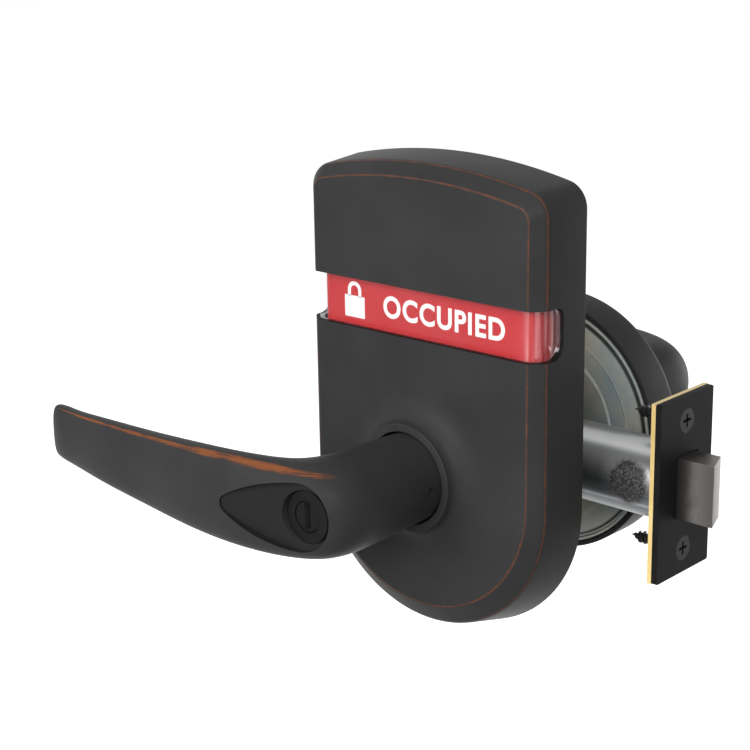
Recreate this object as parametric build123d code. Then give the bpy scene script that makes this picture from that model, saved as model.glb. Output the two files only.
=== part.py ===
"""Privacy lever lock: indicator escutcheon outside, round rose inside, spring latch in the door edge.

Frame, in millimetres: the origin is where the spindle axis (Y) meets the latch axis (X) in the middle
of the door's thickness. X points to the door's edge, Z up, -Y outside and +Y inside.
"""

import os
from math import asin, cos, hypot, pi, radians, sin, sqrt

from build123d import *

# Door preparation
DOOR = 44.45
BACKSET = 69.85
POST_PITCH = 69.8

# Running and fitting clearances
FIT = 0.1
SLIDE = 0.4
RUN = 0.5

# Outside escutcheon
ESC_DEPTH = 21.3
ESC_WALL = 2.5
ESC_BEVEL = 4.2
ESC_HALF_WIDTH = 42.2
ESC_TOP = 92.9
ESC_ARCH = 190.0
ESC_FACE_CORNER = 4.0
ESC_RIM_CORNER = 8.0
ESC_FACE_LOW = -1.5
ESC_BEVEL_LOW = -4.2
ESC_RIM_LOW = -7.3
ESC_DRAFT = 1.3
BOSS_HEIGHT = 5.4
BOSS_RADIUS = 27.0
SCREW_BOSS_RADIUS = 3.2

# Window, lens and sliding flag
WINDOW_LOW = 42.85
WINDOW_HIGH = 58.55
WINDOW_SIDE = 7.2
WINDOW_TOP_CORNER = 3.0
WINDOW_LOW_CORNER = 5.0
LENS_INSET = 1.2
LENS_FLANGE = 0.65
LENS_LIP = 1.8
FLAG_THICK = 1.0
FLAG_LAP = 0.9
FLAG_LEG = 12.0
BAND_BEND = 4.0

# Necks, collars and spindles
NECK_RADIUS = 14.9
NECK_ROOT_RADIUS = 14.0
COLLAR_RADIUS = 17.6
COLLAR_RIM = 1.0
BARREL_RADIUS = 16.0
NUT_RADIUS = 20.3
NUT_THICK = 2.0
SPINDLE_RADIUS = 9.0
SPINDLE_WALL = 2.0
SPINDLE_END = 75.0
CATCH_RADIUS = 1.0
CATCH_FROM_COLLAR = 4.4

# Lever handle: stations along the bend, each an outer and a back point in plan, a height and a squareness
LEVER_REACH = 119.0
LEVER_STATIONS = [
    (NECK_RADIUS, 73.0, -NECK_RADIUS, 71.5, 29.8, 2.0),
    (14.3, 85.0, -15.8, 77.0, 29.9, 2.1),
    (10.4, 92.2, -18.0, 82.0, 30.0, 2.2),
    (1.5, 96.8, -21.5, 85.6, 30.0, 2.3),
    (-9.0, 99.2, -26.5, 87.9, 29.9, 2.4),
    (-22.0, 100.8, -33.0, 89.2, 29.4, 2.5),
    (-43.0, 101.1, -46.0, 89.7, 27.8, 2.6),
    (-68.0, 99.2, -69.0, 89.2, 24.6, 2.6),
    (-94.0, 96.9, -94.5, 88.4, 21.2, 2.6),
    (-109.0, 95.0, -109.4, 87.6, 19.1, 2.6),
    (-116.5, 93.6, -116.8, 87.2, 17.2, 2.6),
    (-118.5, 92.5, -118.6, 87.9, 14.6, 2.5),
    (-LEVER_REACH, 91.4, -LEVER_REACH, 88.8, 11.0, 2.4),
]
NECK_SINK = 6.0
SECTION_POINTS = 16
INSIDE_SHIFT = 2.0

# Thumb dish, coin turn and inside button
RING_RADIUS = 8.3
PLUG_RADIUS = 4.7
RING_FACE = 93.5
RING_LENGTH = 7.0
COIN_SLOT_WIDTH = 1.8
COIN_SLOT_LENGTH = 8.0
COIN_SLOT_DEPTH = 2.5
DISH_RADIUS = 10.8
DISH_CENTRE = -1.8
DISH_NOSE_RADIUS = 3.0
DISH_NOSE_CENTRE = -26.6
DISH_SIDE_RADIUS = 60.0
DISH_SLOPE = 12.0
BUTTON_PROUD = 6.0
TURN_BAR_WIDTH = 6.0
TURN_BAR_THICK = 2.0

# Indicator crank and carrier
CRANK_RADIUS = 14.0
CRANK_PIN_RADIUS = 1.2
CRANK_THICK = 2.5
CRANK_REAR = 33.1
CRANK_START = 135.0
CRANK_TURN = 90.0
FORK_THICK = 2.0
FORK_SLOT = 3.6
FORK_ARM = 2.5
FORK_TIP = -10.2
CARRIER_INSET = 11.2
CARRIER_WIDTH = 7.0
CARRIER_THICK = 1.6
SPINDLE_WINDOW_ANGLE = 212.0

# Mounting plates, spring cages and posts
PLATE_THICK = 2.0
CAGE_RADIUS = 20.0
CAGE_DEPTH = 6.0
CAGE_WALL = 1.2
SPRING_COIL_RADIUS = 14.5
SPRING_WIRE = 1.0
SPRING_TURNS = 2.5
POST_RADIUS = 3.9
POST_LENGTH = 28.0
BOLT_RADIUS = 2.4
BOLT_HEAD_RADIUS = 4.5
BOLT_HEAD = 2.6

# Inside rose
ROSE_COVER = 8.75
ROSE_DEPTH = 15.0
ROSE_WALL = 1.5
ROSE_EDGE = 2.5
DISC_INSET = 1.85
DISC_STEPS = [(33.0, 0.9), (26.8, 1.8)]
DISC_THICK = 1.4
DISC_LIP = 1.2

# Chassis and latch retraction
CHASSIS_RADIUS = 25.5
CHASSIS_FLAT = 15.8
CHASSIS_HALF = 13.0
CHASSIS_WALL = 1.5
THROW = 12.7
EAR_RADIUS = 17.6
EAR_HALF = 2.0
HUB_RADIUS = 6.2
HUB_BORE = 4.0
HUB_INNER = 3.0
HUB_OUTER = 8.2
CLUTCH_RADIUS = 10.6
DOG_WIDTH = 3.6
WEB_HALF = 2.3
WEB_HEIGHT = 15.0
SHOULDER_THICK = 3.0
SHOULDER_GAP = 0.7
JAW_WALL = 2.5

# Latch
TUBE_RADIUS = 12.3
TUBE_WALL = 0.8
PLATE_WIDTH = 28.575
PLATE_HEIGHT = 57.15
FACE_THICK = 2.0
BACK_THICK = 1.5
BOLT_HEIGHT = 19.2
BOLT_FLAT = -4.5
BOLT_NOSE = 3.0
BOLT_BEVEL_END = 3.8
GUIDE_LENGTH = 16.0
TAIL_HALF_THICK = 1.2
TAIL_HALF_HEIGHT = 3.0
TAIL_HEAD = 5.5
SCREW_PITCH = 41.28
SCREW_RADIUS = 2.1
SCREW_HEAD_RADIUS = 4.0
SCREW_TIP = 51.0

# Places worked out from the sizes above
DOOR_HALF = DOOR / 2
FACE_Y = -DOOR_HALF - ESC_DEPTH
BEVEL_Y = FACE_Y + ESC_BEVEL
BOSS_Y = FACE_Y - BOSS_HEIGHT
COLLAR_Y = BOSS_Y - COLLAR_RIM
ROSE_FACE = DOOR_HALF + ROSE_DEPTH
ROSE_BOSS = ROSE_FACE + BOSS_HEIGHT
IN_COLLAR_Y = ROSE_BOSS + COLLAR_RIM
WINDOW_BACK = BEVEL_Y + WINDOW_SIDE
POST_Z = POST_PITCH / 2
ROSE_RADIUS = POST_Z + ROSE_COVER
DISC_RADIUS = ROSE_RADIUS - DISC_INSET
CARRIER_LEFT = -ESC_HALF_WIDTH + CARRIER_INSET
TRAVEL = 2 * CRANK_RADIUS * sin(radians(CRANK_TURN / 2))
BACKPLATE_X = BACKSET - FACE_THICK - BACK_THICK


def rod_y(radius, y0, y1, x=0.0, z=0.0):
    """Round bar along Y."""
    return Pos(x, (y0 + y1) / 2, z) * Rot(90, 0, 0) * Cylinder(radius, abs(y1 - y0))


def rod_x(radius, x0, x1, y=0.0, z=0.0):
    """Round bar along X."""
    return Pos((x0 + x1) / 2, y, z) * Rot(0, 90, 0) * Cylinder(radius, abs(x1 - x0))


def block(x0, x1, y0, y1, z0, z1):
    """Box between two corners."""
    centre = Pos((x0 + x1) / 2, (y0 + y1) / 2, (z0 + z1) / 2)
    return centre * Box(abs(x1 - x0), abs(y1 - y0), abs(z1 - z0))


def ring_y(outer, inner, y0, y1, x=0.0, z=0.0):
    """Tube along Y."""
    return rod_y(outer, y0, y1, x, z) - rod_y(inner, min(y0, y1) - 1, max(y0, y1) + 1, x, z)


def turned(points):
    """Solid turned about the Y axis from a closed outline of (radius, y) points."""
    outline = Polyline(*[(r, y, 0) for r, y in points], close=True)
    return revolve(make_face(outline), axis=Axis.Y)


def drafted_outline(half_width, top, corner, low, arch, y):
    """Escutcheon outline at one depth: straight sides, arched top with round corners, round bottom."""
    arch_centre = top - arch
    corner_x = half_width - corner
    corner_z = arch_centre + sqrt((arch - corner) ** 2 - corner_x**2)
    lean = asin(corner_x / (arch - corner))
    top_x = arch * sin(lean)
    top_z = arch_centre + arch * cos(lean)
    middle = (lean + pi / 2) / 2
    mid_x = corner_x + corner * sin(middle)
    mid_z = corner_z + corner * cos(middle)
    edges = [
        Line((half_width, y, low), (half_width, y, corner_z)),
        ThreePointArc((half_width, y, corner_z), (mid_x, y, mid_z), (top_x, y, top_z)),
        ThreePointArc((top_x, y, top_z), (0, y, top), (-top_x, y, top_z)),
        ThreePointArc((-top_x, y, top_z), (-mid_x, y, mid_z), (-half_width, y, corner_z)),
        Line((-half_width, y, corner_z), (-half_width, y, low)),
        ThreePointArc((-half_width, y, low), (0, y, low - half_width), (half_width, y, low)),
    ]
    return make_face(edges)


SIDE_LEAN = ESC_DRAFT / (ESC_DEPTH - ESC_BEVEL)
FRONT_MITRE = sqrt(2) - 1
BEVEL_NORMAL = Vector(1, -1).normalized()
SIDE_NORMAL = Vector(1, -SIDE_LEAN).normalized()
BEVEL_MITRE = (BEVEL_NORMAL + SIDE_NORMAL) * (1 / (1 + BEVEL_NORMAL.dot(SIDE_NORMAL)))


def escutcheon_body(inset, rear):
    """Bevelled and drafted shield, inset evenly all round, back to the plane rear."""
    rim = ESC_BEVEL + ESC_DRAFT
    levels = (
        (0, inset * FRONT_MITRE, ESC_FACE_CORNER, ESC_FACE_LOW, FACE_Y + inset),
        (ESC_BEVEL, inset * BEVEL_MITRE.X, ESC_RIM_CORNER, ESC_BEVEL_LOW, BEVEL_Y - inset * BEVEL_MITRE.Y),
        (rim, inset, ESC_RIM_CORNER, ESC_RIM_LOW, rear),
    )
    faces = [
        drafted_outline(ESC_HALF_WIDTH + out - cut, ESC_TOP + out - cut, corner - cut, low, ESC_ARCH - cut, y)
        for out, cut, corner, low, y in levels
    ]
    return loft(faces, ruled=True)


def window_cut(gap=0.0):
    """Slot that wraps the front and both sides, smaller all round by a gap."""
    half = ESC_HALF_WIDTH + ESC_BEVEL + 10
    slot = block(-half, half, FACE_Y - 10, WINDOW_BACK - gap, WINDOW_LOW + gap, WINDOW_HIGH - gap)
    ends = slot.edges().filter_by(Axis.X).sort_by(Axis.Y)[-2:].sort_by(Axis.Z)
    slot = fillet(ends[0], WINDOW_LOW_CORNER - gap)
    ends = slot.edges().filter_by(Axis.X).sort_by(Axis.Z)[-2:].sort_by(Axis.Y)
    return fillet(ends[-1], WINDOW_TOP_CORNER - gap)


def screw_places():
    """Centres of the four bosses that hold the escutcheon to its plate."""
    return [(25.0, 84.0), (-25.0, 84.0), (22.0, -27.0), (-22.0, -27.0)]


def outside_escutcheon():
    shell = escutcheon_body(0.0, -DOOR_HALF)
    shell -= escutcheon_body(ESC_WALL, -DOOR_HALF + 0.01)
    shell += boss(FACE_Y, -1)
    plate_y = -DOOR_HALF - PLATE_THICK - FIT
    for x, z in screw_places():
        shell += rod_y(SCREW_BOSS_RADIUS, FACE_Y + ESC_WALL / 2, plate_y, x, z)
        shell -= rod_y(1.3, plate_y - 8, plate_y + 1, x, z)
    shell -= rod_y(BARREL_RADIUS + FIT, BOSS_Y - 1, FACE_Y + ESC_WALL + 5)
    return shell - window_cut()


def boss(face, side):
    """Flared boss on a cover's face, from a wide foot up to the collar; side is -1 outside, 1 inside."""
    top = face + side * BOSS_HEIGHT
    sink = face - side * ESC_WALL / 2
    flare_r = COLLAR_RADIUS + (BOSS_RADIUS - COLLAR_RADIUS) * 0.28
    flare_y = face + side * BOSS_HEIGHT * 0.3
    edges = [
        Line((0, sink, 0), (BOSS_RADIUS, sink, 0)),
        Line((BOSS_RADIUS, sink, 0), (BOSS_RADIUS, face, 0)),
        ThreePointArc((BOSS_RADIUS, face, 0), (flare_r, flare_y, 0), (COLLAR_RADIUS, top, 0)),
        Line((COLLAR_RADIUS, top, 0), (0, top, 0)),
        Line((0, top, 0), (0, sink, 0)),
    ]
    return revolve(make_face(edges), axis=Axis.Y)


def band_plan(depth):
    """Plan of the escutcheon's front at an even inset, with rounded bends, closed across the door's middle."""
    front_x = ESC_HALF_WIDTH - depth * FRONT_MITRE
    bevel = Vector(ESC_HALF_WIDTH + ESC_BEVEL, BEVEL_Y) - BEVEL_MITRE * depth
    back_x = bevel.X - SIDE_LEAN * bevel.Y
    outline = Polyline(
        (-front_x, FACE_Y + depth), (front_x, FACE_Y + depth), (bevel.X, bevel.Y), (back_x, 0),
        (-back_x, 0), (-bevel.X, bevel.Y), close=True,
    )
    plan = make_face(outline)
    return fillet([v for v in plan.vertices() if v.Y < -1], BAND_BEND - depth / 2)


def side_band(inset, thick, back, low, high):
    """U-shaped band that follows the escutcheon's front, bevels and sides at an even inset."""
    solid = Pos(0, 0, low) * extrude(band_plan(inset) - band_plan(inset + thick), high - low, dir=(0, 0, 1))
    return solid & block(-100, 100, FACE_Y - 1, back, low - 1, high + 1)


def window_lens():
    stem = side_band(LENS_INSET, ESC_WALL - LENS_INSET + LENS_FLANGE, WINDOW_BACK, WINDOW_LOW, WINDOW_HIGH)
    stem &= window_cut(FIT)
    flange = side_band(ESC_WALL + FIT, LENS_FLANGE, WINDOW_BACK + LENS_LIP, WINDOW_LOW - LENS_LIP,
                       WINDOW_HIGH + LENS_LIP)
    return stem + flange


FLAG_INSET = ESC_WALL + FIT + LENS_FLANGE + SLIDE
FLAG_REAR = FACE_Y + FLAG_INSET + FLAG_THICK
FLAG_LOW = WINDOW_LOW - FLAG_LAP
FLAG_HIGH = WINDOW_HIGH + TRAVEL + FLAG_LAP


def occupancy_flag():
    return side_band(FLAG_INSET, FLAG_THICK, BEVEL_Y + FLAG_LEG, FLAG_LOW, FLAG_HIGH)


CRANK_FRONT = CRANK_REAR + CRANK_THICK
FORK_FRONT = CRANK_REAR - SLIDE - FIT
FORK_Z = CRANK_RADIUS * sin(radians(CRANK_START))


def flag_carrier():
    """Strap behind the flag, stepped back to a fork that the crank pin works."""
    right = CARRIER_LEFT + CARRIER_WIDTH
    foot = FORK_Z - FORK_SLOT / 2 - FORK_ARM
    strap = block(CARRIER_LEFT, right, FLAG_REAR, FLAG_REAR + CARRIER_THICK, foot, FLAG_HIGH - 4)
    step = block(CARRIER_LEFT, right, FLAG_REAR, -FORK_FRONT + FORK_THICK, foot, FORK_Z + FORK_SLOT / 2 + FORK_ARM)
    fork = block(CARRIER_LEFT, FORK_TIP, -FORK_FRONT, -FORK_FRONT + FORK_THICK, foot,
                 FORK_Z + FORK_SLOT / 2 + FORK_ARM)
    slot_left = -CRANK_RADIUS - CRANK_PIN_RADIUS - SLIDE
    slot = block(slot_left, FORK_TIP + 1, -FORK_FRONT - 1, -FORK_FRONT + FORK_THICK + 1,
                 FORK_Z - FORK_SLOT / 2, FORK_Z + FORK_SLOT / 2)
    return strap + step + fork - slot


def bar_hole(y0, y1):
    """Flat hole for the turn bar, with its long side across at the locked position."""
    half_width = TURN_BAR_WIDTH / 2 + FIT
    half_thick = TURN_BAR_THICK / 2 + FIT
    return block(-half_thick, half_thick, y0, y1, -half_width, half_width)


def indicator_cam():
    hub = rod_y(SPINDLE_RADIUS - SPINDLE_WALL - RUN, -CRANK_FRONT, -CRANK_REAR)
    arm = block(0, CRANK_RADIUS, -CRANK_FRONT, -CRANK_REAR, -1.5, 1.5)
    arm += rod_y(CRANK_PIN_RADIUS + 0.3, -CRANK_FRONT, -CRANK_REAR, CRANK_RADIUS)
    arm += rod_y(CRANK_PIN_RADIUS, -CRANK_FRONT, -FORK_FRONT + FORK_THICK, CRANK_RADIUS)
    crank = hub + Rot(0, -CRANK_START, 0) * arm
    return crank - bar_hole(-CRANK_FRONT - 1, -CRANK_REAR + 1)


def clutch_cam():
    """Collar with a slanted face that shifts the outside drive hub as the turn bar turns."""
    collar = rod_y(SPINDLE_RADIUS - SPINDLE_WALL - RUN, -20.0, -13.5)
    slant = Pos(0, -13.5, 0) * Rot(14, 0, 0) * Box(40, 4, 40)
    return collar - slant - bar_hole(-21, -12)


def section(station):
    """One rounded cross-section of the handle, on the plane through its outer and back points."""
    outer_x, outer_y, back_x, back_y, height, square = station
    centre_x = (outer_x + back_x) / 2
    centre_y = -(outer_y + back_y) / 2
    half = hypot(outer_x - back_x, outer_y - back_y) / 2
    across_x = (outer_x - back_x) / (2 * half)
    across_y = -(outer_y - back_y) / (2 * half)
    points = []
    for k in range(SECTION_POINTS):
        angle = 2 * pi * k / SECTION_POINTS
        c, s = cos(angle), sin(angle)
        u = half * (1 if c >= 0 else -1) * abs(c) ** (2 / square)
        v = height / 2 * (1 if s >= 0 else -1) * abs(s) ** (2 / square)
        points.append((centre_x + across_x * u, centre_y + across_y * u, v))
    return make_face(Spline(points, periodic=True))


def handle(root_y):
    """Solid handle: a round neck that bends a quarter turn into a tapering bar with a rounded tip."""
    root = section((NECK_ROOT_RADIUS, root_y, -NECK_ROOT_RADIUS, root_y, 2 * NECK_ROOT_RADIUS, 2.0))
    solid = loft([root, section(LEVER_STATIONS[0])], ruled=True)
    bend, bar, tip = LEVER_STATIONS[:7], LEVER_STATIONS[6:10], LEVER_STATIONS[9:]
    for stations, ruled in ((bend, False), (bar, False), (tip, True)):
        solid += loft([section(station) for station in stations], ruled=ruled)
    return solid


def dish_cut():
    """Egg-shaped recess with a sloping flat floor: two round ends joined by long bowed sides."""
    span = DISH_CENTRE - DISH_NOSE_CENTRE
    near = DISH_SIDE_RADIUS - DISH_RADIUS
    far = DISH_SIDE_RADIUS - DISH_NOSE_RADIUS
    along = (far**2 - near**2 - span**2) / (2 * span)
    below = sqrt(near**2 - along**2)
    touch = Vector(DISH_CENTRE, 0, 0) + Vector(-along, 0, below) * (DISH_RADIUS / near)
    nose_touch = Vector(DISH_NOSE_CENTRE, 0, 0) + Vector(-along - span, 0, below) * (DISH_NOSE_RADIUS / far)
    side_centre = Vector(DISH_CENTRE + along, 0, -below)
    side_middle = side_centre + ((touch + nose_touch) * 0.5 - side_centre).normalized() * DISH_SIDE_RADIUS
    right, left = (DISH_CENTRE + DISH_RADIUS, 0, 0), (DISH_NOSE_CENTRE - DISH_NOSE_RADIUS, 0, 0)
    lower = [Vector(p.X, 0, -p.Z) for p in (touch, side_middle, nose_touch)]
    edges = [
        ThreePointArc(touch, side_middle, nose_touch),
        ThreePointArc(nose_touch, left, lower[2]),
        ThreePointArc(*lower[::-1]),
        ThreePointArc(lower[0], right, touch),
    ]
    drop = extrude(make_face(edges), 2 * DISH_RADIUS, dir=(0, -1, 0))
    return Pos(0, -RING_FACE, 0) * Rot(0, 0, DISH_SLOPE) * drop


def lever_with_hardware(collar):
    """Handle with its dish, spindle bore, ring bore and catch hole; collar is its collar's distance out."""
    lever = handle(collar - NECK_SINK) - dish_cut()
    lever -= rod_y(SPINDLE_RADIUS + FIT / 2, -SPINDLE_END - FIT, -collar + NECK_SINK + 1)
    lever -= rod_y(RING_RADIUS + FIT / 2, -RING_FACE - 8, -RING_FACE + RING_LENGTH)
    lever -= rod_y(PLUG_RADIUS + FIT, -RING_FACE, -SPINDLE_END + 1)
    return lever - rod_x(CATCH_RADIUS + FIT, 0, 20, -collar - CATCH_FROM_COLLAR)


def flipped(shape):
    """Inside copy of an outside piece, a little further from the door."""
    return Pos(0, INSIDE_SHIFT, 0) * mirror(shape, about=Plane.XZ)


def outside_lever():
    return lever_with_hardware(-COLLAR_Y)


def inside_lever():
    return flipped(lever_with_hardware(IN_COLLAR_Y - INSIDE_SHIFT))


def spindle_catch(collar, side):
    """Spring catch in the spindle wall whose nib fills the poke hole of the neck."""
    catch_y = side * (collar + CATCH_FROM_COLLAR)
    bore = SPINDLE_RADIUS - SPINDLE_WALL
    nib = rod_x(CATCH_RADIUS, bore - 0.6, NECK_ROOT_RADIUS - 1.0, catch_y)
    return nib + block(bore - 1.2, bore - 0.2, catch_y - 1.5, catch_y + 9, -1.5, 1.5)


def spindle(start, end, collar):
    """Tube from the hub to the lever, cross-drilled for its catch."""
    side = 1 if end > 0 else -1
    tube = ring_y(SPINDLE_RADIUS, SPINDLE_RADIUS - SPINDLE_WALL, start, end)
    return tube - rod_x(CATCH_RADIUS + FIT, 0, 20, side * (collar + CATCH_FROM_COLLAR))


CLUTCH_FACE = 9.3
DRIVE_REAR = CHASSIS_HALF - CHASSIS_WALL - 0.2


def outside_spindle():
    tube = spindle(-DRIVE_REAR + 2.2, -SPINDLE_END, -COLLAR_Y)
    half = SPINDLE_WINDOW_ANGLE / 2
    reach = 2 * SPINDLE_RADIUS
    sector = make_face(Polyline(
        (0, 0, 0),
        *[(-reach * cos(radians(a)), 0, reach * sin(radians(a)))
          for a in (-half, -half / 2, 0.0, half / 2, half)],
        close=True,
    ))
    window = Pos(0, -CRANK_FRONT - SLIDE, 0) * extrude(sector, CRANK_THICK + 2 * SLIDE, dir=(0, 1, 0))
    return tube - window


def inside_spindle():
    return spindle(HUB_OUTER, SPINDLE_END + INSIDE_SHIFT, IN_COLLAR_Y)


def outside_hub():
    """Drive disc on the outside spindle; its two dogs stand clear of the clutch plate when locked."""
    disc = ring_y(CLUTCH_RADIUS, SPINDLE_RADIUS + FIT / 2, -DRIVE_REAR, -DRIVE_REAR + 1.2)
    for side in (-1, 1):
        disc += block(side * (SPINDLE_RADIUS + FIT), side * (CLUTCH_RADIUS - FIT), -DRIVE_REAR + 1.0,
                      -CLUTCH_FACE + 0.2, -DOG_WIDTH / 2, DOG_WIDTH / 2)
    return disc


def clutch_plate():
    """Notched plate on the end of the inside hub's core."""
    plate = ring_y(CLUTCH_RADIUS, HUB_RADIUS, -8.5, -5.2)
    for side in (-1, 1):
        plate -= block(side * (SPINDLE_RADIUS - FIT), side * 13, -9, -6.8, -DOG_WIDTH / 2 - 0.3, DOG_WIDTH / 2 + 0.3)
    return plate


def inside_hub():
    """Cam with two ears on a core that reaches through the retractor's web."""
    core = rod_y(HUB_RADIUS, -8.5, HUB_INNER)
    cam = rod_y(SPINDLE_RADIUS, HUB_INNER, HUB_OUTER)
    ears = block(-EAR_HALF, EAR_HALF, HUB_INNER, HUB_OUTER - 0.2, -EAR_RADIUS + 1, EAR_RADIUS - 1)
    ears = ears & rod_y(EAR_RADIUS - 0.6, HUB_INNER, HUB_OUTER)
    return core + cam + ears - rod_y(HUB_BORE, -9, HUB_OUTER + 1)


def coin_ring():
    return ring_y(RING_RADIUS, PLUG_RADIUS + FIT, -RING_FACE, -RING_FACE + RING_LENGTH)


def inside_button_ring():
    return flipped(coin_ring())


def coin_turn():
    """Slotted plug that a coin turns, on a stem that grips the turn bar."""
    front = -RING_FACE + 0.3
    plug = rod_y(PLUG_RADIUS, front, front + 14)
    half = COIN_SLOT_WIDTH / 2
    plug -= block(-half, half, front - 1, front + COIN_SLOT_DEPTH, -COIN_SLOT_LENGTH / 2, COIN_SLOT_LENGTH / 2)
    return plug - bar_hole(front + 6, front + 20)


def turn_button():
    """Inside thumb turn: round root and a flat grip."""
    face = RING_FACE + INSIDE_SHIFT
    root = rod_y(PLUG_RADIUS, face - 14, face + 0.5)
    grip = block(-1.5, 1.5, face, face + BUTTON_PROUD, -PLUG_RADIUS + 0.5, PLUG_RADIUS - 0.5)
    grip = fillet(grip.edges().filter_by(Axis.X).sort_by(Axis.Y)[-2:], 2.0)
    return root + grip - bar_hole(face - 20, face - 6)


def turn_bar():
    half_width = TURN_BAR_WIDTH / 2
    half_thick = TURN_BAR_THICK / 2
    front = -RING_FACE + 0.3 + 6.5
    back = RING_FACE + INSIDE_SHIFT - 6.5
    return block(-half_thick, half_thick, front, back, -half_width, half_width)


def collar(tip, nut_face, side):
    """Bushing: a rim that shows round the neck and a threaded barrel through the cover."""
    rim_back = tip - side * COLLAR_RIM
    bore = NECK_ROOT_RADIUS + RUN
    rim = ring_y(COLLAR_RADIUS - 0.2, bore, tip, rim_back + side * FIT)
    rim = chamfer(rim.edges().filter_by(GeomType.CIRCLE).sort_by(Axis.Y)[::side][-2:], 0.3)
    return rim + ring_y(BARREL_RADIUS, bore, tip - side * COLLAR_RIM / 2, nut_face)


def outside_bushing():
    return collar(COLLAR_Y, FACE_Y + ESC_WALL + NUT_THICK, -1)


def inside_bushing():
    return collar(IN_COLLAR_Y, ROSE_FACE - ROSE_WALL - NUT_THICK, 1)


def bushing_nuts():
    outside_face = FACE_Y + ESC_WALL
    inside_face = ROSE_FACE - ROSE_WALL
    bore = BARREL_RADIUS + FIT
    outside = ring_y(NUT_RADIUS, bore, outside_face, outside_face + NUT_THICK)
    inside = ring_y(NUT_RADIUS, bore, inside_face - NUT_THICK, inside_face)
    return Compound([outside, inside])


def outside_mount_plate():
    rear = -DOOR_HALF
    front = rear - PLATE_THICK
    inset = ESC_WALL + SLIDE
    half = ESC_HALF_WIDTH + ESC_BEVEL + ESC_DRAFT - inset
    top = ESC_TOP + ESC_BEVEL + ESC_DRAFT - inset
    outline = drafted_outline(half - 0.2, top - 0.2, ESC_RIM_CORNER - inset, ESC_RIM_LOW, ESC_ARCH, rear)
    plate = extrude(outline, PLATE_THICK, dir=(0, -1, 0))
    plate -= rod_y(SPINDLE_RADIUS + RUN, front - 1, rear + 1)
    for side in (-1, 1):
        plate -= rod_y(POST_RADIUS + FIT, front - 1, rear + 1, 0, side * POST_Z)
    for x, z in screw_places():
        plate -= rod_y(1.6, front - 1, rear + 1, x, z)
        plate -= rod_y(2.8, rear - 1.1, rear + 1, x, z)
    return plate


def spring_cage(base, side):
    """Cup that holds a lever's return spring, open towards the door's face plate."""
    rim = base + side * CAGE_DEPTH
    cup = ring_y(CAGE_RADIUS, CAGE_RADIUS - CAGE_WALL, base, rim)
    floor = ring_y(CAGE_RADIUS - CAGE_WALL / 2, SPINDLE_RADIUS + RUN, rim - side * CAGE_WALL, rim)
    return cup + floor


OUT_CAGE_BASE = -DOOR_HALF - PLATE_THICK
DISC_FACE = DOOR_HALF + 2 * FIT
IN_CAGE_BASE = DISC_FACE + DISC_STEPS[-1][1] + DISC_THICK


def outside_cage():
    return spring_cage(OUT_CAGE_BASE, -1)


def inside_cage():
    return spring_cage(IN_CAGE_BASE, 1)


def coil(radius, wire, length, turns, start=0.0):
    """One unbroken spring wire about Z, wound from half-turn arcs."""
    rise = (length - 2 * wire) / turns
    path = []
    for k in range(round(turns * 2)):
        a0 = start + pi * k
        marks = []
        for step in (0, 0.5, 1):
            angle = a0 + pi * step
            height = wire + rise * (k + step) / 2
            marks.append((radius * cos(angle), radius * sin(angle), height))
        path.append(ThreePointArc(*marks))
    line = Wire(path)
    print("coil gap", round(rise - 2 * wire, 2))
    return sweep(Plane(origin=line @ 0, z_dir=line % 0) * Circle(wire), path=line)


def cage_spring(base, side):
    spring = coil(SPRING_COIL_RADIUS, SPRING_WIRE / 2, CAGE_DEPTH - CAGE_WALL - 2 * FIT, SPRING_TURNS)
    return Pos(0, base + side * FIT, 0) * Rot(-90 * side, 0, 0) * spring


def outside_cage_spring():
    return cage_spring(OUT_CAGE_BASE, -1)


def inside_cage_spring():
    return cage_spring(IN_CAGE_BASE, 1)


def mount_posts():
    front = -DOOR_HALF - PLATE_THICK
    posts = []
    for side in (-1, 1):
        z = side * POST_Z
        post = rod_y(POST_RADIUS, front, front + POST_LENGTH, 0, z)
        post += rod_y(POST_RADIUS + 1.2, front - 1.2, front, 0, z)
        posts.append(post - rod_y(BOLT_RADIUS + FIT, front + 8, front + POST_LENGTH + 1, 0, z))
    return Compound(posts)


def escutcheon_screws():
    rear = -DOOR_HALF
    screws = []
    for x, z in screw_places():
        screw = rod_y(2.7, rear - 1.0, rear, x, z) + rod_y(1.2, rear - 9, rear, x, z)
        screws.append(screw - block(x - 0.4, x + 0.4, rear - 0.5, rear + 1, z - 1.8, z + 1.8))
    return Compound(screws)


def inside_rose():
    """Drawn round cover with a rolled edge and a flared boss for the collar."""
    face = ROSE_FACE
    cup = rod_y(ROSE_RADIUS, DOOR_HALF, face)
    cup = fillet(cup.edges().filter_by(GeomType.CIRCLE).sort_by(Axis.Y)[-1], ROSE_EDGE)
    cup -= rod_y(ROSE_RADIUS - ROSE_WALL, DOOR_HALF - 1, face - ROSE_WALL)
    cup += boss(face, 1)
    return cup - rod_y(BARREL_RADIUS + FIT, face - ROSE_WALL - 1, ROSE_BOSS + 1)


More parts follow.
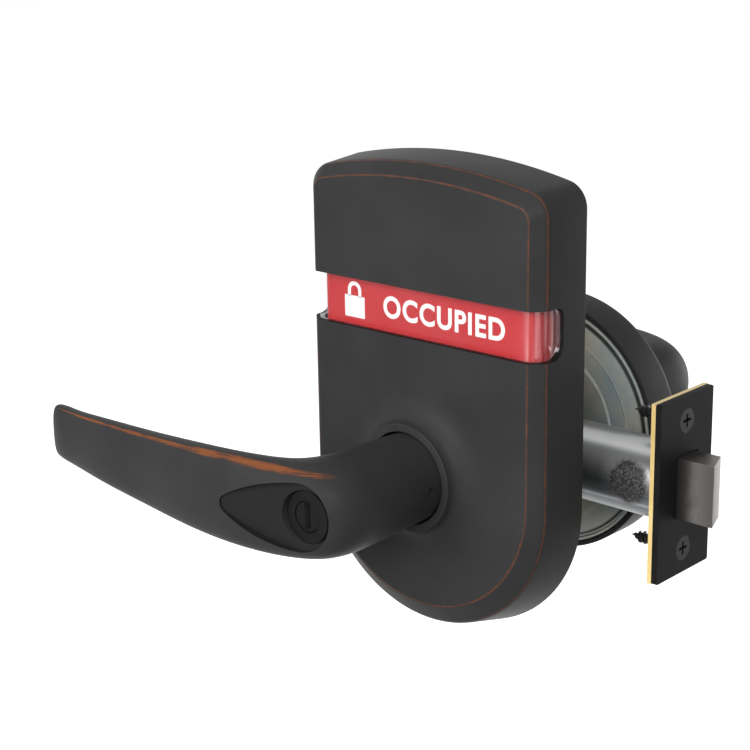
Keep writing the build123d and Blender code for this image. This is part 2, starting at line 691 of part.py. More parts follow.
def inside_cage_plate():
    """Pressed disc that closes the rose: a rolled lip, a groove and two steps down to the middle."""
    (r1, d1), (r2, d2) = DISC_STEPS
    face = DISC_FACE
    back = face + DISC_THICK
    lip = DISC_RADIUS - DISC_LIP
    groove = lip - 1.2
    bore = SPINDLE_RADIUS + RUN
    disc = turned([
        (bore, face + d2), (r2 - d2, face + d2), (r2, face + d1), (r1 - d1, face + d1), (r1, face),
        (groove, face), (groove + 0.3, face + 0.9), (lip, face + 0.9), (lip + 0.3, face),
        (DISC_RADIUS, face), (DISC_RADIUS, back + 0.8), (lip - 1.0, back + 0.8), (groove - 1.0, back),
        (r1 + 0.4, back), (r1 - d1 + 0.4, back + d1), (r2 + 0.4, back + d1), (r2 - d2 + 0.4, back + d2),
        (bore, back + d2),
    ])
    for side in (-1, 1):
        disc -= rod_y(BOLT_RADIUS + FIT, face - 1, back + 2, 0, side * POST_Z)
    return disc


def through_bolts():
    head = DISC_FACE + DISC_THICK + DISC_STEPS[0][1]
    bolts = []
    for side in (-1, 1):
        z = side * POST_Z
        bolt = rod_y(BOLT_RADIUS, -8, head, 0, z) + rod_y(BOLT_HEAD_RADIUS, head, head + BOLT_HEAD, 0, z)
        slot = block(-0.6, 0.6, head + BOLT_HEAD - 1.2, head + BOLT_HEAD + 1, z - 4.6, z + 4.6)
        bolts.append(bolt - slot)
    return Compound(bolts)


def chassis_can(radius, flat, half):
    """Round can with one flat towards the latch."""
    return rod_y(radius, -half, half) & block(-radius - 1, flat, -half, half, -radius - 1, radius + 1)


def chassis_shell():
    """Can that holds the retractor, open to the inside where its cover goes."""
    inner = CHASSIS_RADIUS - CHASSIS_WALL
    shell = chassis_can(CHASSIS_RADIUS, CHASSIS_FLAT, CHASSIS_HALF)
    room = chassis_can(inner, CHASSIS_FLAT - CHASSIS_WALL, CHASSIS_HALF - CHASSIS_WALL)
    mouth = Pos(0, CHASSIS_WALL, 0) * room
    shell -= room + mouth
    shell -= rod_y(SPINDLE_RADIUS + 0.3, -CHASSIS_HALF - 1, 0)
    return shell - rod_x(TUBE_RADIUS - TUBE_WALL, CHASSIS_FLAT - 3, CHASSIS_FLAT + 1)


def chassis_cover():
    inner = CHASSIS_RADIUS - CHASSIS_WALL - FIT
    cover = chassis_can(inner, CHASSIS_FLAT - CHASSIS_WALL - FIT, CHASSIS_HALF)
    cover &= block(-30, 30, CHASSIS_HALF - CHASSIS_WALL, CHASSIS_HALF, -30, 30)
    return cover - rod_y(SPINDLE_RADIUS + 0.3, 0, CHASSIS_HALF + 1)


SHOULDER_X = -EAR_HALF - SHOULDER_GAP
SLOT_HALF = HUB_RADIUS + SLIDE
HEAD_REST = SLOT_HALF + THROW + 0.2
HEAD_LENGTH = 2.5
SLOT_END = HEAD_REST + HEAD_LENGTH + 0.2
JAW_END = SLOT_END + JAW_WALL


def retractor():
    """Slide with a slotted web, one shoulder for the cam's ears and a jaw for the latch tail."""
    left = SHOULDER_X - SHOULDER_THICK
    web = block(left, 9.5, -WEB_HALF, WEB_HALF, -WEB_HEIGHT, WEB_HEIGHT)
    web += block(left, JAW_END, -WEB_HALF, WEB_HALF, -SLOT_HALF - 3.2, SLOT_HALF + 3.2)
    web -= block(-SLOT_HALF, SLOT_END, -WEB_HALF - 1, WEB_HALF + 1, -SLOT_HALF, SLOT_HALF)
    for side in (-1, 1):
        web += block(left, SHOULDER_X, 0, HUB_OUTER, side * (SLOT_HALF + 2.5), side * WEB_HEIGHT)
        web += block(left, 9.5, -HUB_OUTER, 0, side * (WEB_HEIGHT - 1.8), side * WEB_HEIGHT)
    tail = block(SLOT_END - 1, JAW_END + 1, -TAIL_HALF_THICK - 0.2, TAIL_HALF_THICK + 0.2,
                 -TAIL_HALF_HEIGHT - 0.2, TAIL_HALF_HEIGHT + 0.2)
    return web - tail


def retractor_springs():
    """Pair of springs that push the retractor back towards the latch."""
    left = -sqrt((CHASSIS_RADIUS - CHASSIS_WALL) ** 2 - (WEB_HEIGHT - 1) ** 2) + 0.3
    right = SHOULDER_X - SHOULDER_THICK - FIT
    springs = []
    for z in (-11.0, 11.0):
        spring = Pos(left, 5.0, z) * Rot(0, 90, 0) * coil(2.6, 0.35, right - left, 5)
        springs.append(spring)
    return Compound(springs)


SEAT_X = JAW_END + 1.0
GUIDE_END = BACKPLATE_X - 0.5
GUIDE_START = GUIDE_END - GUIDE_LENGTH
SEAT_THICK = 1.5


def latch_tube():
    """Tube from the chassis to the back plate."""
    tube = rod_x(TUBE_RADIUS, CHASSIS_FLAT, BACKPLATE_X)
    bore = rod_x(TUBE_RADIUS - TUBE_WALL, CHASSIS_FLAT - 1, BACKPLATE_X + 1)
    return tube - bore


def latch_spring_seat():
    """Washer crimped in the tube; the latch tail slides through its slot."""
    seat = rod_x(TUBE_RADIUS - TUBE_WALL - FIT, SEAT_X, SEAT_X + SEAT_THICK)
    return seat - block(SEAT_X - 1, SEAT_X + 3, -TAIL_HALF_THICK - 0.3, TAIL_HALF_THICK + 0.3,
                        -TAIL_HALF_HEIGHT - 0.3, TAIL_HALF_HEIGHT + 0.3)


def latch_spring():
    start = SEAT_X + SEAT_THICK + FIT
    return Pos(start, 0, 0) * Rot(0, 90, 0) * coil(6.5, 0.5, GUIDE_START - FIT - start, 6)


def latch_bolt():
    """Bevelled head on a round guide that runs in the tube."""
    nose = BACKSET + THROW
    half = BOLT_HEIGHT / 2
    slope = (BOLT_BEVEL_END - BOLT_FLAT - BOLT_NOSE) / THROW
    root_y = BOLT_BEVEL_END + slope * 3.0
    plan = make_face(Polyline(
        (GUIDE_END - 4, BOLT_FLAT), (nose, BOLT_FLAT), (nose, BOLT_FLAT + BOLT_NOSE),
        (BACKSET - 3.0, root_y), (GUIDE_END - 4, root_y), close=True,
    ))
    head = Pos(0, 0, -half) * extrude(plan, BOLT_HEIGHT)
    return head + rod_x(TUBE_RADIUS - TUBE_WALL - RUN, GUIDE_START, GUIDE_END)


def latch_tail():
    bar = block(HEAD_REST, GUIDE_START, -TAIL_HALF_THICK, TAIL_HALF_THICK, -TAIL_HALF_HEIGHT, TAIL_HALF_HEIGHT)
    head = block(HEAD_REST, HEAD_REST + HEAD_LENGTH, -TAIL_HALF_THICK, TAIL_HALF_THICK, -TAIL_HEAD, TAIL_HEAD)
    return bar + head


def edge_plate(x0, x1, opening):
    """Square-cornered plate for the door's edge with the bolt's opening and two screw holes."""
    plate = block(x0, x1, -PLATE_WIDTH / 2, PLATE_WIDTH / 2, -PLATE_HEIGHT / 2, PLATE_HEIGHT / 2)
    half = BOLT_HEIGHT / 2 + opening
    bevel_room = BOLT_BEVEL_END + 2.6 + opening
    plate -= block(x0 - 1, x1 + 1, BOLT_FLAT - opening, bevel_room, -half, half)
    for side in (-1, 1):
        plate -= rod_x(SCREW_RADIUS + FIT, x0 - 1, x1 + 1, 0, side * SCREW_PITCH / 2)
    return plate


def countersunk():
    """Head cone of a faceplate screw, with its tip towards the door."""
    return Pos(BACKSET - FACE_THICK / 2, 0, 0) * Rot(0, 90, 0) * Cone(
        SCREW_RADIUS, SCREW_HEAD_RADIUS, FACE_THICK)


def latch_faceplate():
    plate = edge_plate(BACKSET - FACE_THICK, BACKSET, 0.3)
    plate = chamfer(plate.faces().sort_by(Axis.X)[-1].outer_wire().edges(), 0.4)
    for side in (-1, 1):
        plate -= Pos(0, 0, side * SCREW_PITCH / 2) * countersunk()
    return plate


def latch_backplate():
    return edge_plate(BACKPLATE_X, BACKSET - FACE_THICK, 0.6)


def faceplate_screws():
    """Two wood screws: countersunk cross-slotted head, shank and drill point."""
    screws = []
    for side in (-1, 1):
        shank = rod_x(SCREW_RADIUS, SCREW_TIP + 4, BACKSET - FACE_THICK)
        point = Pos(SCREW_TIP + 2, 0, 0) * Rot(0, 90, 0) * Cone(0.3, SCREW_RADIUS, 4)
        screw = countersunk() + shank + point
        screw -= block(BACKSET - 1.2, BACKSET + 1, -0.5, 0.5, -2.2, 2.2)
        screw -= block(BACKSET - 1.2, BACKSET + 1, -2.2, 2.2, -0.5, 0.5)
        screws.append(Pos(0, 0, side * SCREW_PITCH / 2) * screw)
    return Compound(screws)


def outside_catch():
    return spindle_catch(-COLLAR_Y, -1)


def inside_catch():
    return spindle_catch(IN_COLLAR_Y, 1)


PIECES = (
    outside_escutcheon, window_lens, occupancy_flag, flag_carrier, outside_bushing, inside_bushing,
    bushing_nuts, outside_mount_plate, outside_cage, inside_cage, outside_cage_spring,
    inside_cage_spring, mount_posts, escutcheon_screws, outside_lever, inside_lever, outside_spindle,
    inside_spindle, outside_catch, inside_catch, outside_hub, clutch_plate, inside_hub, coin_ring,
    inside_button_ring, coin_turn, turn_button, turn_bar, indicator_cam, clutch_cam, inside_rose,
    inside_cage_plate, through_bolts, chassis_shell, chassis_cover, retractor, retractor_springs,
    latch_tube, latch_spring_seat, latch_spring, latch_bolt, latch_tail, latch_faceplate,
    latch_backplate, faceplate_screws,
)

os.makedirs("parts", exist_ok=True)
for piece in PIECES:
    export_step(piece(), f"parts/{piece.__name__}.step")
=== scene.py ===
# %% [markdown]
# # A privacy lever lock with an occupancy window
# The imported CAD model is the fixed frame: every piece below sits in it by its millimetres. The pieces that
# show get a finer surface here, worked out with numpy, and the mechanism inside keeps its CAD shape and gets
# its metal. A piece is either a family of rails, one closed loop after the other, or a profile turned about
# an axis.

import bmesh
import bpy
import numpy as np
from mathutils import Matrix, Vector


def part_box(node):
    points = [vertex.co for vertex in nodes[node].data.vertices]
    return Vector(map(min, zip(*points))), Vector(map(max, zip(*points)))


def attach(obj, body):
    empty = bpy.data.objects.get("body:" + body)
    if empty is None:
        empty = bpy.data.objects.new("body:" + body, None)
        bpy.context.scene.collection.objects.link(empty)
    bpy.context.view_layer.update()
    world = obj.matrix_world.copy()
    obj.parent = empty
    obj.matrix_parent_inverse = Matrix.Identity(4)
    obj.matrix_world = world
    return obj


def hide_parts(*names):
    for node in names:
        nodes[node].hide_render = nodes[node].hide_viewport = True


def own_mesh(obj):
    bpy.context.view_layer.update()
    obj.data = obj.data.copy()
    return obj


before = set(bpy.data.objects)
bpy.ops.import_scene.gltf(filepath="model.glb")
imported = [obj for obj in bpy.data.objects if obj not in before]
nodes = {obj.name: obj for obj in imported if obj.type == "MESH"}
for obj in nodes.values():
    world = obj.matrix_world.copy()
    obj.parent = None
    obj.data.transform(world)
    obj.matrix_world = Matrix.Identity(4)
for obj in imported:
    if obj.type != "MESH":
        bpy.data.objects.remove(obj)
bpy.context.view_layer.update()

# %% [markdown]
# ## The camera
# The photograph was matched by fitting a pinhole to about thirty of the lock's own points: the corners of the
# edge plate, the window's ends, the arch's two lines and the ellipse of the collar. Aiming the camera at the
# middle of the lock would be simpler, but the picture is slightly rolled, so the full turn is written out:
# back is the way from the lock to the camera, and right and up span the picture.

# %% Camera
MM = 0.001
CAMERA_AZIMUTH = np.radians(42.222)
CAMERA_ELEVATION = np.radians(16.537)
CAMERA_ROLL = np.radians(-0.934)
CAMERA_DISTANCE = 599.50
CAMERA_SLIDE = (-42.48, 20.91)
CAMERA_LENS = 87.434
CAMERA_SENSOR = 36.0
CAMERA_NEAR = 10.0


def unit(vector):
    """The vector, or each vector of an array, at length 1."""
    return vector / np.maximum(np.linalg.norm(vector, axis=-1, keepdims=True), 1e-9)


def add_object(name, data):
    """New object of the scene that shows this data."""
    made = bpy.data.objects.new(name, data)
    bpy.context.scene.collection.objects.link(made)
    return made


def new_mesh(name, points, faces, material):
    """Mesh of one material from points in mm and faces of point numbers."""
    mesh = bpy.data.meshes.new(name)
    mesh.from_pydata((points * MM).tolist(), [], faces)
    mesh.materials.append(material)
    return mesh


back = np.array([
    np.sin(CAMERA_AZIMUTH) * np.cos(CAMERA_ELEVATION),
    -np.cos(CAMERA_AZIMUTH) * np.cos(CAMERA_ELEVATION),
    np.sin(CAMERA_ELEVATION),
])
level_right = np.array([np.cos(CAMERA_AZIMUTH), np.sin(CAMERA_AZIMUTH), 0.0])
level_up = np.cross(back, level_right)
right = np.cos(CAMERA_ROLL) * level_right + np.sin(CAMERA_ROLL) * level_up
up = np.cos(CAMERA_ROLL) * level_up - np.sin(CAMERA_ROLL) * level_right
position = back * CAMERA_DISTANCE + right * CAMERA_SLIDE[0] + up * CAMERA_SLIDE[1]

camera_data = bpy.data.cameras.new("photo_camera")
camera_data.lens = CAMERA_LENS
camera_data.sensor_width = CAMERA_SENSOR
camera_data.clip_start = CAMERA_NEAR * MM
camera = add_object("photo_camera", camera_data)
camera_axes = np.column_stack([right, up, back, position * MM])
camera.matrix_world = Matrix([*camera_axes.tolist(), [0, 0, 0, 1]])
bpy.context.scene.camera = camera
bpy.context.scene.view_settings.view_transform = "Standard"
print("camera stands at", np.round(position, 1), "mm")

# %% [markdown]
# ## Node helpers
# A material here is a short list of shader nodes. A few helpers keep each list readable: feed sets the
# inputs of a node by their names, and the others stand for a sum, a ramp, a mix of colours or a noise.

# %% Node helpers
def feed(node, **sockets):
    """Gives the node's inputs, each by its name or by i and its number, a value or another node's output."""
    for name, value in sockets.items():
        numbered = name[0] == "i" and name[1:].isdigit()
        socket = node.inputs[int(name[1:]) if numbered else name.replace("_", " ")]
        if isinstance(value, bpy.types.NodeSocket):
            node.id_data.links.new(value, socket)
        else:
            socket.default_value = value


def new_node(tree, kind, settings=None, **sockets):
    """A shader node of this kind; settings are its properties, sockets its inputs."""
    node = tree.nodes.new("ShaderNode" + kind)
    for name, value in (settings or {}).items():
        setattr(node, name, value)
    feed(node, **sockets)
    return node


def maths(tree, operation, *values):
    """One step of arithmetic on one, two or three values."""
    sockets = {f"i{number}": value for number, value in enumerate(values)}
    return new_node(tree, "Math", {"operation": operation}, **sockets).outputs[0]


def ramp(tree, factor, stops):
    """Ramp over a factor from 0 to 1; stops are (position, grey)."""
    node = new_node(tree, "ValToRGB", Fac=factor)
    elements = node.color_ramp.elements
    while len(elements) < len(stops):
        elements.new(1.0)
    for element, (place, grey) in zip(elements, stops):
        element.position = place
        element.color = (grey, grey, grey, 1)
    return node.outputs["Color"]


def rise(tree, factor, low, high, top=1.0):
    """Straight rise from 0 at low to the top value at high."""
    return ramp(tree, factor, [(low, 0.0), (high, top)])


def mixed(tree, factor, first, second, blend="MIX"):
    """Colour mix of two colours or colour outputs."""
    first, second = [end if isinstance(end, bpy.types.NodeSocket) else (*end, 1) for end in (first, second)]
    settings = {"data_type": "RGBA", "blend_type": blend}
    return new_node(tree, "Mix", settings, i0=factor, i6=first, i7=second).outputs[2]


def own_place(tree):
    """The place on the piece's own coordinates, in metres."""
    return new_node(tree, "TexCoord").outputs["Object"]


def own_axis(tree, axis, scale=1.0, offset=0.0):
    """One own coordinate, scaled and moved, so that a ramp can span it."""
    value = new_node(tree, "SeparateXYZ", Vector=own_place(tree)).outputs[axis]
    return maths(tree, "MULTIPLY_ADD", value, scale, offset)


def noise(tree, scale, detail=4.0, stretch=(1, 1, 1), roughness=0.5):
    """Noise on the piece's own coordinates; stretch scales them along each axis first."""
    placed = new_node(tree, "Mapping", Vector=own_place(tree), Scale=stretch).outputs["Vector"]
    made = new_node(tree, "TexNoise", Vector=placed, Scale=scale, Detail=detail, Roughness=roughness)
    return made.outputs["Fac"]


def new_material(name, **sockets):
    """A material with one principled shader, its sockets set by name; gives the material, tree and shader."""
    material = bpy.data.materials.new(name)
    material.use_nodes = True
    tree = material.node_tree
    shader = tree.nodes["Principled BSDF"]
    feed(shader, **sockets)
    return material, tree, shader


def add_bump(tree, shader, height, strength, distance=0.0001):
    """Bump from a height output."""
    bump = new_node(tree, "Bump", Height=height, Strength=strength, Distance=distance)
    feed(shader, Normal=bump.outputs["Normal"])


# %% [markdown]
# ## White room, floor and soft light
# The photograph is a cut-out on pure white. A floor well below the lock and a world that camera, mirror and
# glass rays see as plain white give the same ground. The world's own light is softer than that white, and
# three square lamps shape the dark metal: a broad one in front and above, a smaller one at the upper right
# for the handle's neck, and a broad one behind for the rose's edge.

# %% Floor and world
FLOOR_DROP = 160.0
FLOOR_HALF = 3000.0
FLOOR_LIT, FLOOR_SHOWN = (0.12, 0.12, 0.12), (0.9, 0.9, 0.9)
FLOOR_GLOW = 0.75
WORLD_LIGHT, WORLD_SHOWN = 0.22, 1.0


def background_rays(tree):
    """1 for the rays that show the background to the camera, metal or glass, and 0 for those that light."""
    rays = new_node(tree, "LightPath").outputs
    direct = maths(tree, "MAXIMUM", rays["Is Camera Ray"], rays["Is Glossy Ray"])
    return maths(tree, "MAXIMUM", direct, rays["Is Transmission Ray"])


world = bpy.data.worlds.new("white_room")
bpy.context.scene.world = world
world.use_nodes = True
tree = world.node_tree
tree.nodes.clear()
light, shown = [new_node(tree, "Background", Color=(1, 1, 1, 1), Strength=strength).outputs[0]
                for strength in (WORLD_LIGHT, WORLD_SHOWN)]
blend = new_node(tree, "MixShader", i0=background_rays(tree), i1=light, i2=shown).outputs[0]
new_node(tree, "OutputWorld", Surface=blend)

floor_white, tree, shader = new_material("floor_white", Roughness=0.9, Emission_Color=(1, 1, 1, 1))
seen = background_rays(tree)
feed(shader, Base_Color=mixed(tree, seen, FLOOR_LIT, FLOOR_SHOWN))
feed(shader, Emission_Strength=maths(tree, "MULTIPLY", seen, FLOOR_GLOW))
floor_points = np.array([(-1, -1, 0), (1, -1, 0), (1, 1, 0), (-1, 1, 0)]) * FLOOR_HALF - (0, 0, FLOOR_DROP)
add_object("floor", new_mesh("floor", floor_points, [(0, 1, 2, 3)], floor_white))
print("floor at", -FLOOR_DROP, "mm")

# %% Lamps
# Each lamp's name, place, side and power in watts.
LAMPS = (
    ("key_lamp", (-80, -800, 300), 520, 6.3),
    ("neck_lamp", (520, -620, 460), 380, 4.6),
    ("back_lamp", (260, 800, 60), 520, 3.6),
)


def add_lamp(name, place, size, power):
    """Square area lamp that looks at the lock's middle."""
    data = bpy.data.lights.new(name, "AREA")
    data.size = size * MM
    data.energy = power
    away = unit(np.array(place, float))
    side = unit(np.cross((0.0, 0.0, 1.0), away))
    over = np.cross(away, side)
    turned_axes = np.column_stack([side, over, away, np.array(place) * MM])
    add_object(name, data).matrix_world = Matrix([*turned_axes.tolist(), [0, 0, 0, 1]])


for lamp_settings in LAMPS:
    add_lamp(*lamp_settings)
print(len(LAMPS), "lamps")

# %% [markdown]
# ## Aged bronze
# The casings and handles are a satin, almost black bronze. Its brown-red ground shows only where the dark
# layer is rubbed through: as hairlines on the sharp edges and as a brushed strip along the top of the handle.
# The rubbed places are worked out with the shape, so each surface carries a second UV map named wear, whose
# first number is 1 where the layer is thinnest. The material breaks that up with noise, so the lines come and
# go.

# %% Bronze
BRONZE_TONES = np.array([(0.029, 0.029, 0.030), (0.036, 0.036, 0.037)])
BRONZE_RUBBED = (0.20, 0.068, 0.028)
BRONZE_LINE = (0.105, 0.044, 0.028)
WEAR_STREAKS = (150, 9, 1)


def rubbed_through(tree, dark, contrast):
    """The dark layer with its rubbed places: the wear map plus noise, brushed along, past two thresholds."""
    wear_map = new_node(tree, "UVMap", {"uv_map": "wear"}).outputs["UV"]
    wear = new_node(tree, "SeparateXYZ", Vector=wear_map).outputs["X"]
    grid_map = new_node(tree, "UVMap", {"uv_map": "grid"}).outputs["UV"]
    streak_layer = new_node(tree, "Mapping", Vector=grid_map, Scale=WEAR_STREAKS).outputs["Vector"]
    brushed = new_node(tree, "TexNoise", Vector=streak_layer, Scale=1.0, Detail=6.0, Roughness=0.75)
    streaks = maths(tree, "SUBTRACT", brushed.outputs["Fac"], 0.5)
    patches = maths(tree, "SUBTRACT", noise(tree, 130.0), 0.5)
    breaks = maths(tree, "MULTIPLY_ADD", streaks, contrast, maths(tree, "MULTIPLY", patches, 0.4 * contrast))
    rubbed = maths(tree, "ADD", wear, breaks)
    bare = maths(tree, "MULTIPLY", rise(tree, rubbed, 0.55, 0.95), rise(tree, wear, 0.10, 0.45))
    rim = maths(tree, "MULTIPLY", rise(tree, rubbed, 0.10, 0.55), rise(tree, wear, 0.05, 0.30))
    return mixed(tree, bare, mixed(tree, rim, dark, BRONZE_LINE), BRONZE_RUBBED)


def make_bronze(name, contrast=0.0, depth=1.0):
    """Satin dark bronze; a contrast adds the rubbed places, broken up by so much, and depth scales its tones,
    below 1 as painted shade.
    """
    material, tree, shader = new_material(name, Metallic=0.0, Roughness=0.40, Specular_IOR_Level=0.04)
    colour = mixed(tree, rise(tree, noise(tree, 55.0, 5.0), 0.3, 0.7), *(BRONZE_TONES * depth))
    if contrast:
        colour = rubbed_through(tree, colour, contrast)
    feed(shader, Base_Color=colour)
    add_bump(tree, shader, noise(tree, 2600.0, 2.0), 0.08)
    return material


bronze = make_bronze("aged_bronze")
bronze_edged = make_bronze("aged_bronze_edged", 1.3)
bronze_brushed = make_bronze("aged_bronze_brushed", 6.0)
# painted shade: the darker bronze goes on the dish's cut faces
bronze_shade = make_bronze("aged_bronze_shade", depth=0.5)
print("bronze made")

# %% [markdown]
# ## Metals of the latch and the works
# The works are zinc-plated steel with cloudy patches that lean from blue to yellow, the springs and pins are
# plain bright steel, the back plate is brass, and the screws and rings are blackened. One function makes them
# all, because they differ only in tones, roughness and the size of their clouds.

# %% Metals
def make_metal(name, first, second, roughness, scale, grain=0.0, **sockets):
    """Metal whose colour drifts between two tones and whose roughness follows the same cloud."""
    material, tree, shader = new_material(name, **sockets)
    cloud = noise(tree, scale, 5.0, roughness=0.6)
    feed(shader, Base_Color=mixed(tree, rise(tree, cloud, 0.35, 0.65), first, second))
    feed(shader, Roughness=maths(tree, "MULTIPLY_ADD", cloud, 0.25, roughness - 0.1))
    if grain:
        add_bump(tree, shader, noise(tree, scale * 14, 3.0), grain)
    return material


zinc = make_metal("zinc_plate", (0.13, 0.15, 0.16), (0.24, 0.235, 0.20), 0.30, 45.0, 0.25, Metallic=1.0)
spring_steel = make_metal("spring_steel", (0.30, 0.30, 0.30), (0.42, 0.42, 0.42), 0.28, 90.0, Metallic=1.0)
brass = make_metal("brass", (0.50, 0.36, 0.14), (0.60, 0.46, 0.21), 0.32, 60.0, Metallic=1.0)
dark_steel = make_metal("blackened_steel", (0.008, 0.008, 0.008), (0.013, 0.013, 0.012), 0.46, 120.0, 0.2,
                        Specular_IOR_Level=0.12)
ring_dark = make_metal("ring_dark", (0.007, 0.007, 0.007), (0.011, 0.011, 0.011), 0.50, 120.0, 0.1,
                       Specular_IOR_Level=0.04)
black_plastic = make_metal("black_plastic", (0.010, 0.010, 0.010), (0.016, 0.016, 0.016), 0.55, 200.0)
print("plain metals made")

# %% [markdown]
# The bolt is warm grey steel, darker near the edge plate and lighter towards its tip. The pressed disc and
# the
# latch tube get painted reflections: a mirror of an empty white room would stay blank, so bands of a room are
# painted as ramps, one over the distance from the lever's axis for the disc, and one over the height for the
# tube, lighter towards its top. The disc also gets a painted sheen, lighter towards its top, and the tube has
# a stain.

# %% Bolt, disc and tube
BOLT_DARK, BOLT_TIP_TONE = (0.050, 0.047, 0.045), (0.125, 0.116, 0.109)
DISC_EDGE = 41.8
DISC_PAINTED_BANDS = (
    (0.0, 0.10), (0.585, 0.20), (0.60, 0.62), (0.62, 0.60), (0.64, 0.24), (0.76, 0.27), (0.785, 0.40),
    (0.81, 0.28), (0.93, 0.30), (0.942, 0.02), (0.953, 0.02), (0.965, 0.42), (0.985, 0.48), (1.0, 0.10),
)
DISC_BLUE, DISC_YELLOW = (1.28, 1.60, 1.73), (2.40, 2.30, 1.89)
DISC_PAINTED_SHEEN = ((0.25, 0.40), (0.75, 1.0))
TUBE_RADIUS = 12.3
TUBE_PAINTED_BANDS = (
    (0.0, 0.05), (0.24, 0.06), (0.265, 0.24), (0.285, 0.24), (0.31, 0.08), (0.38, 0.05), (0.50, 0.09),
    (0.60, 0.22), (0.70, 0.34), (0.86, 0.38), (0.92, 0.62), (1.0, 0.40),
)
TUBE_BLUE, TUBE_GREY = (0.11, 0.13, 0.155), (0.19, 0.20, 0.22)
STAIN_PLACE = (0.0570, -0.0119, 0.0012)

bolt_steel, tree, shader = new_material("bolt_lighter_tip", Metallic=0.75, Roughness=0.40)
way_out = maths(tree, "MULTIPLY_ADD", noise(tree, 220.0, 6.0), 0.06, own_axis(tree, "X", 10.0))
# darker near the edge plate, lighter towards the tip
tip_lighter = mixed(tree, rise(tree, way_out, 0.755, 0.80), BOLT_DARK, BOLT_TIP_TONE)
feed(shader, Base_Color=tip_lighter)
add_bump(tree, shader, noise(tree, 1300.0, 3.0), 0.3)

zinc_dull, tree, shader = new_material("zinc_disc", Metallic=0.30, Roughness=0.42)
flat_place = new_node(tree, "VectorMath", {"operation": "MULTIPLY"}, i0=own_place(tree), i1=(1, 0, 1))
reach = new_node(tree, "VectorMath", {"operation": "LENGTH"}, i0=flat_place.outputs["Vector"])
# painted reflection: bright and dark rings over the distance from the axis stand for a mirrored room
disc_painted_rings = ramp(tree, maths(tree, "MULTIPLY", reach.outputs["Value"], 1 / (DISC_EDGE * MM)), DISC_PAINTED_BANDS)
cloud = rise(tree, noise(tree, 55.0, 6.0, roughness=0.65), 0.33, 0.67)
disc_bands_and_tint = mixed(tree, 1.0, disc_painted_rings, mixed(tree, cloud, DISC_BLUE, DISC_YELLOW), "MULTIPLY")
# painted sheen: the disc is lighter towards its top
painted_sheen = ramp(tree, own_axis(tree, "Z", 10.0, 0.5), DISC_PAINTED_SHEEN)
feed(shader, Base_Color=mixed(tree, 1.0, disc_bands_and_tint, painted_sheen, "MULTIPLY"))
add_bump(tree, shader, noise(tree, 900.0, 3.0), 0.3)

tube_steel, tree, shader = new_material("tube_steel", Metallic=0.8)
# painted reflection: bands over the height, lighter towards the top, stand for a mirrored room
tube_painted_bands = ramp(tree, own_axis(tree, "Z", 0.5 / (TUBE_RADIUS * MM), 0.5), TUBE_PAINTED_BANDS)
tube_bands_and_tint = mixed(tree, 0.7, mixed(tree, noise(tree, 60.0, 5.0, (0.3, 1, 1)), TUBE_BLUE, TUBE_GREY), tube_painted_bands)
reach = new_node(tree, "VectorMath", {"operation": "DISTANCE"}, i0=own_place(tree), i1=STAIN_PLACE)
ragged = maths(tree, "MULTIPLY_ADD", noise(tree, 260.0), 0.004, reach.outputs["Value"])
stain = ramp(tree, maths(tree, "MULTIPLY", ragged, 80.0), [(0.62, 1.0), (0.82, 0.0)])
pitted = noise(tree, 1500.0, 2.0)
spots = ramp(tree, pitted, [(0.42, 0.020), (0.75, 0.09)])
feed(shader, Base_Color=mixed(tree, stain, tube_bands_and_tint, spots))
feed(shader, Roughness=maths(tree, "MULTIPLY_ADD", stain, 0.3, 0.28))
add_bump(tree, shader, maths(tree, "MULTIPLY", pitted, stain), 0.5, 0.0002)
print("bolt, disc and tube metals made")

# %% [markdown]
# ## Lens and flag
# The lens is clear plastic. True glass would hide the flag from the lamps and fill the picture with noise, so
# a thin gloss coat stands for it: a mirror that is almost clear face on and closes towards its edges, with
# painted streaks of light past the two bends and frosted ends. The flag is printed: red for the state shown,
# and a pale band above it for the other state, which slides down into the window when the lock is opened.

# %% Lens and flag colours
LENS_TINT = (0.95, 0.95, 0.96, 1)
LENS_BENDS = (0.385, 0.410)
LENS_FROST_Y = -33.4
FLAG_CHANGE = 59.4
FLAG_REDS = ((0.41, 0.014, 0.018), (0.46, 0.020, 0.025))
FLAG_PALE = (0.80, 0.78, 0.78)

lens_clear, tree, shader = new_material("clear_lens", Metallic=1.0, Base_Color=LENS_TINT, Roughness=0.12)
edge_on = new_node(tree, "LayerWeight", Blend=0.5).outputs["Facing"]
gloss = maths(tree, "MULTIPLY", maths(tree, "POWER", edge_on, 4.0), 0.9)
haze = maths(tree, "MULTIPLY", noise(tree, 30.0), 0.022)
# painted streaks of light past the two bends
streaks = rise(tree, noise(tree, 700.0, 2.0, (1, 1, 0.02)), 0.45, 0.70, 0.10)
past_bend = rise(tree, maths(tree, "ABSOLUTE", own_axis(tree, "X", 10.0)), *LENS_BENDS)
frosted = rise(tree, own_axis(tree, "Y", 100.0, -LENS_FROST_Y / 10), 0.0, 0.05, 0.30)
streak_layer = maths(tree, "MULTIPLY_ADD", streaks, past_bend, frosted)
feed(shader, Alpha=maths(tree, "ADD", maths(tree, "ADD", gloss, haze), streak_layer))

flag_print, tree, shader = new_material("flag_print", Roughness=0.4, Specular_IOR_Level=0.15)
above = maths(tree, "GREATER_THAN", own_axis(tree, "Z"), FLAG_CHANGE * MM)
red = mixed(tree, noise(tree, 90.0), *FLAG_REDS)
feed(shader, Base_Color=mixed(tree, above, red, FLAG_PALE))


def make_ink(name, first, second):
    """Matt ink with a faint mottle between two tones."""
    material, tree, shader = new_material(name, Roughness=0.5)
    feed(shader, Base_Color=mixed(tree, noise(tree, 120.0), first, second))
    return material


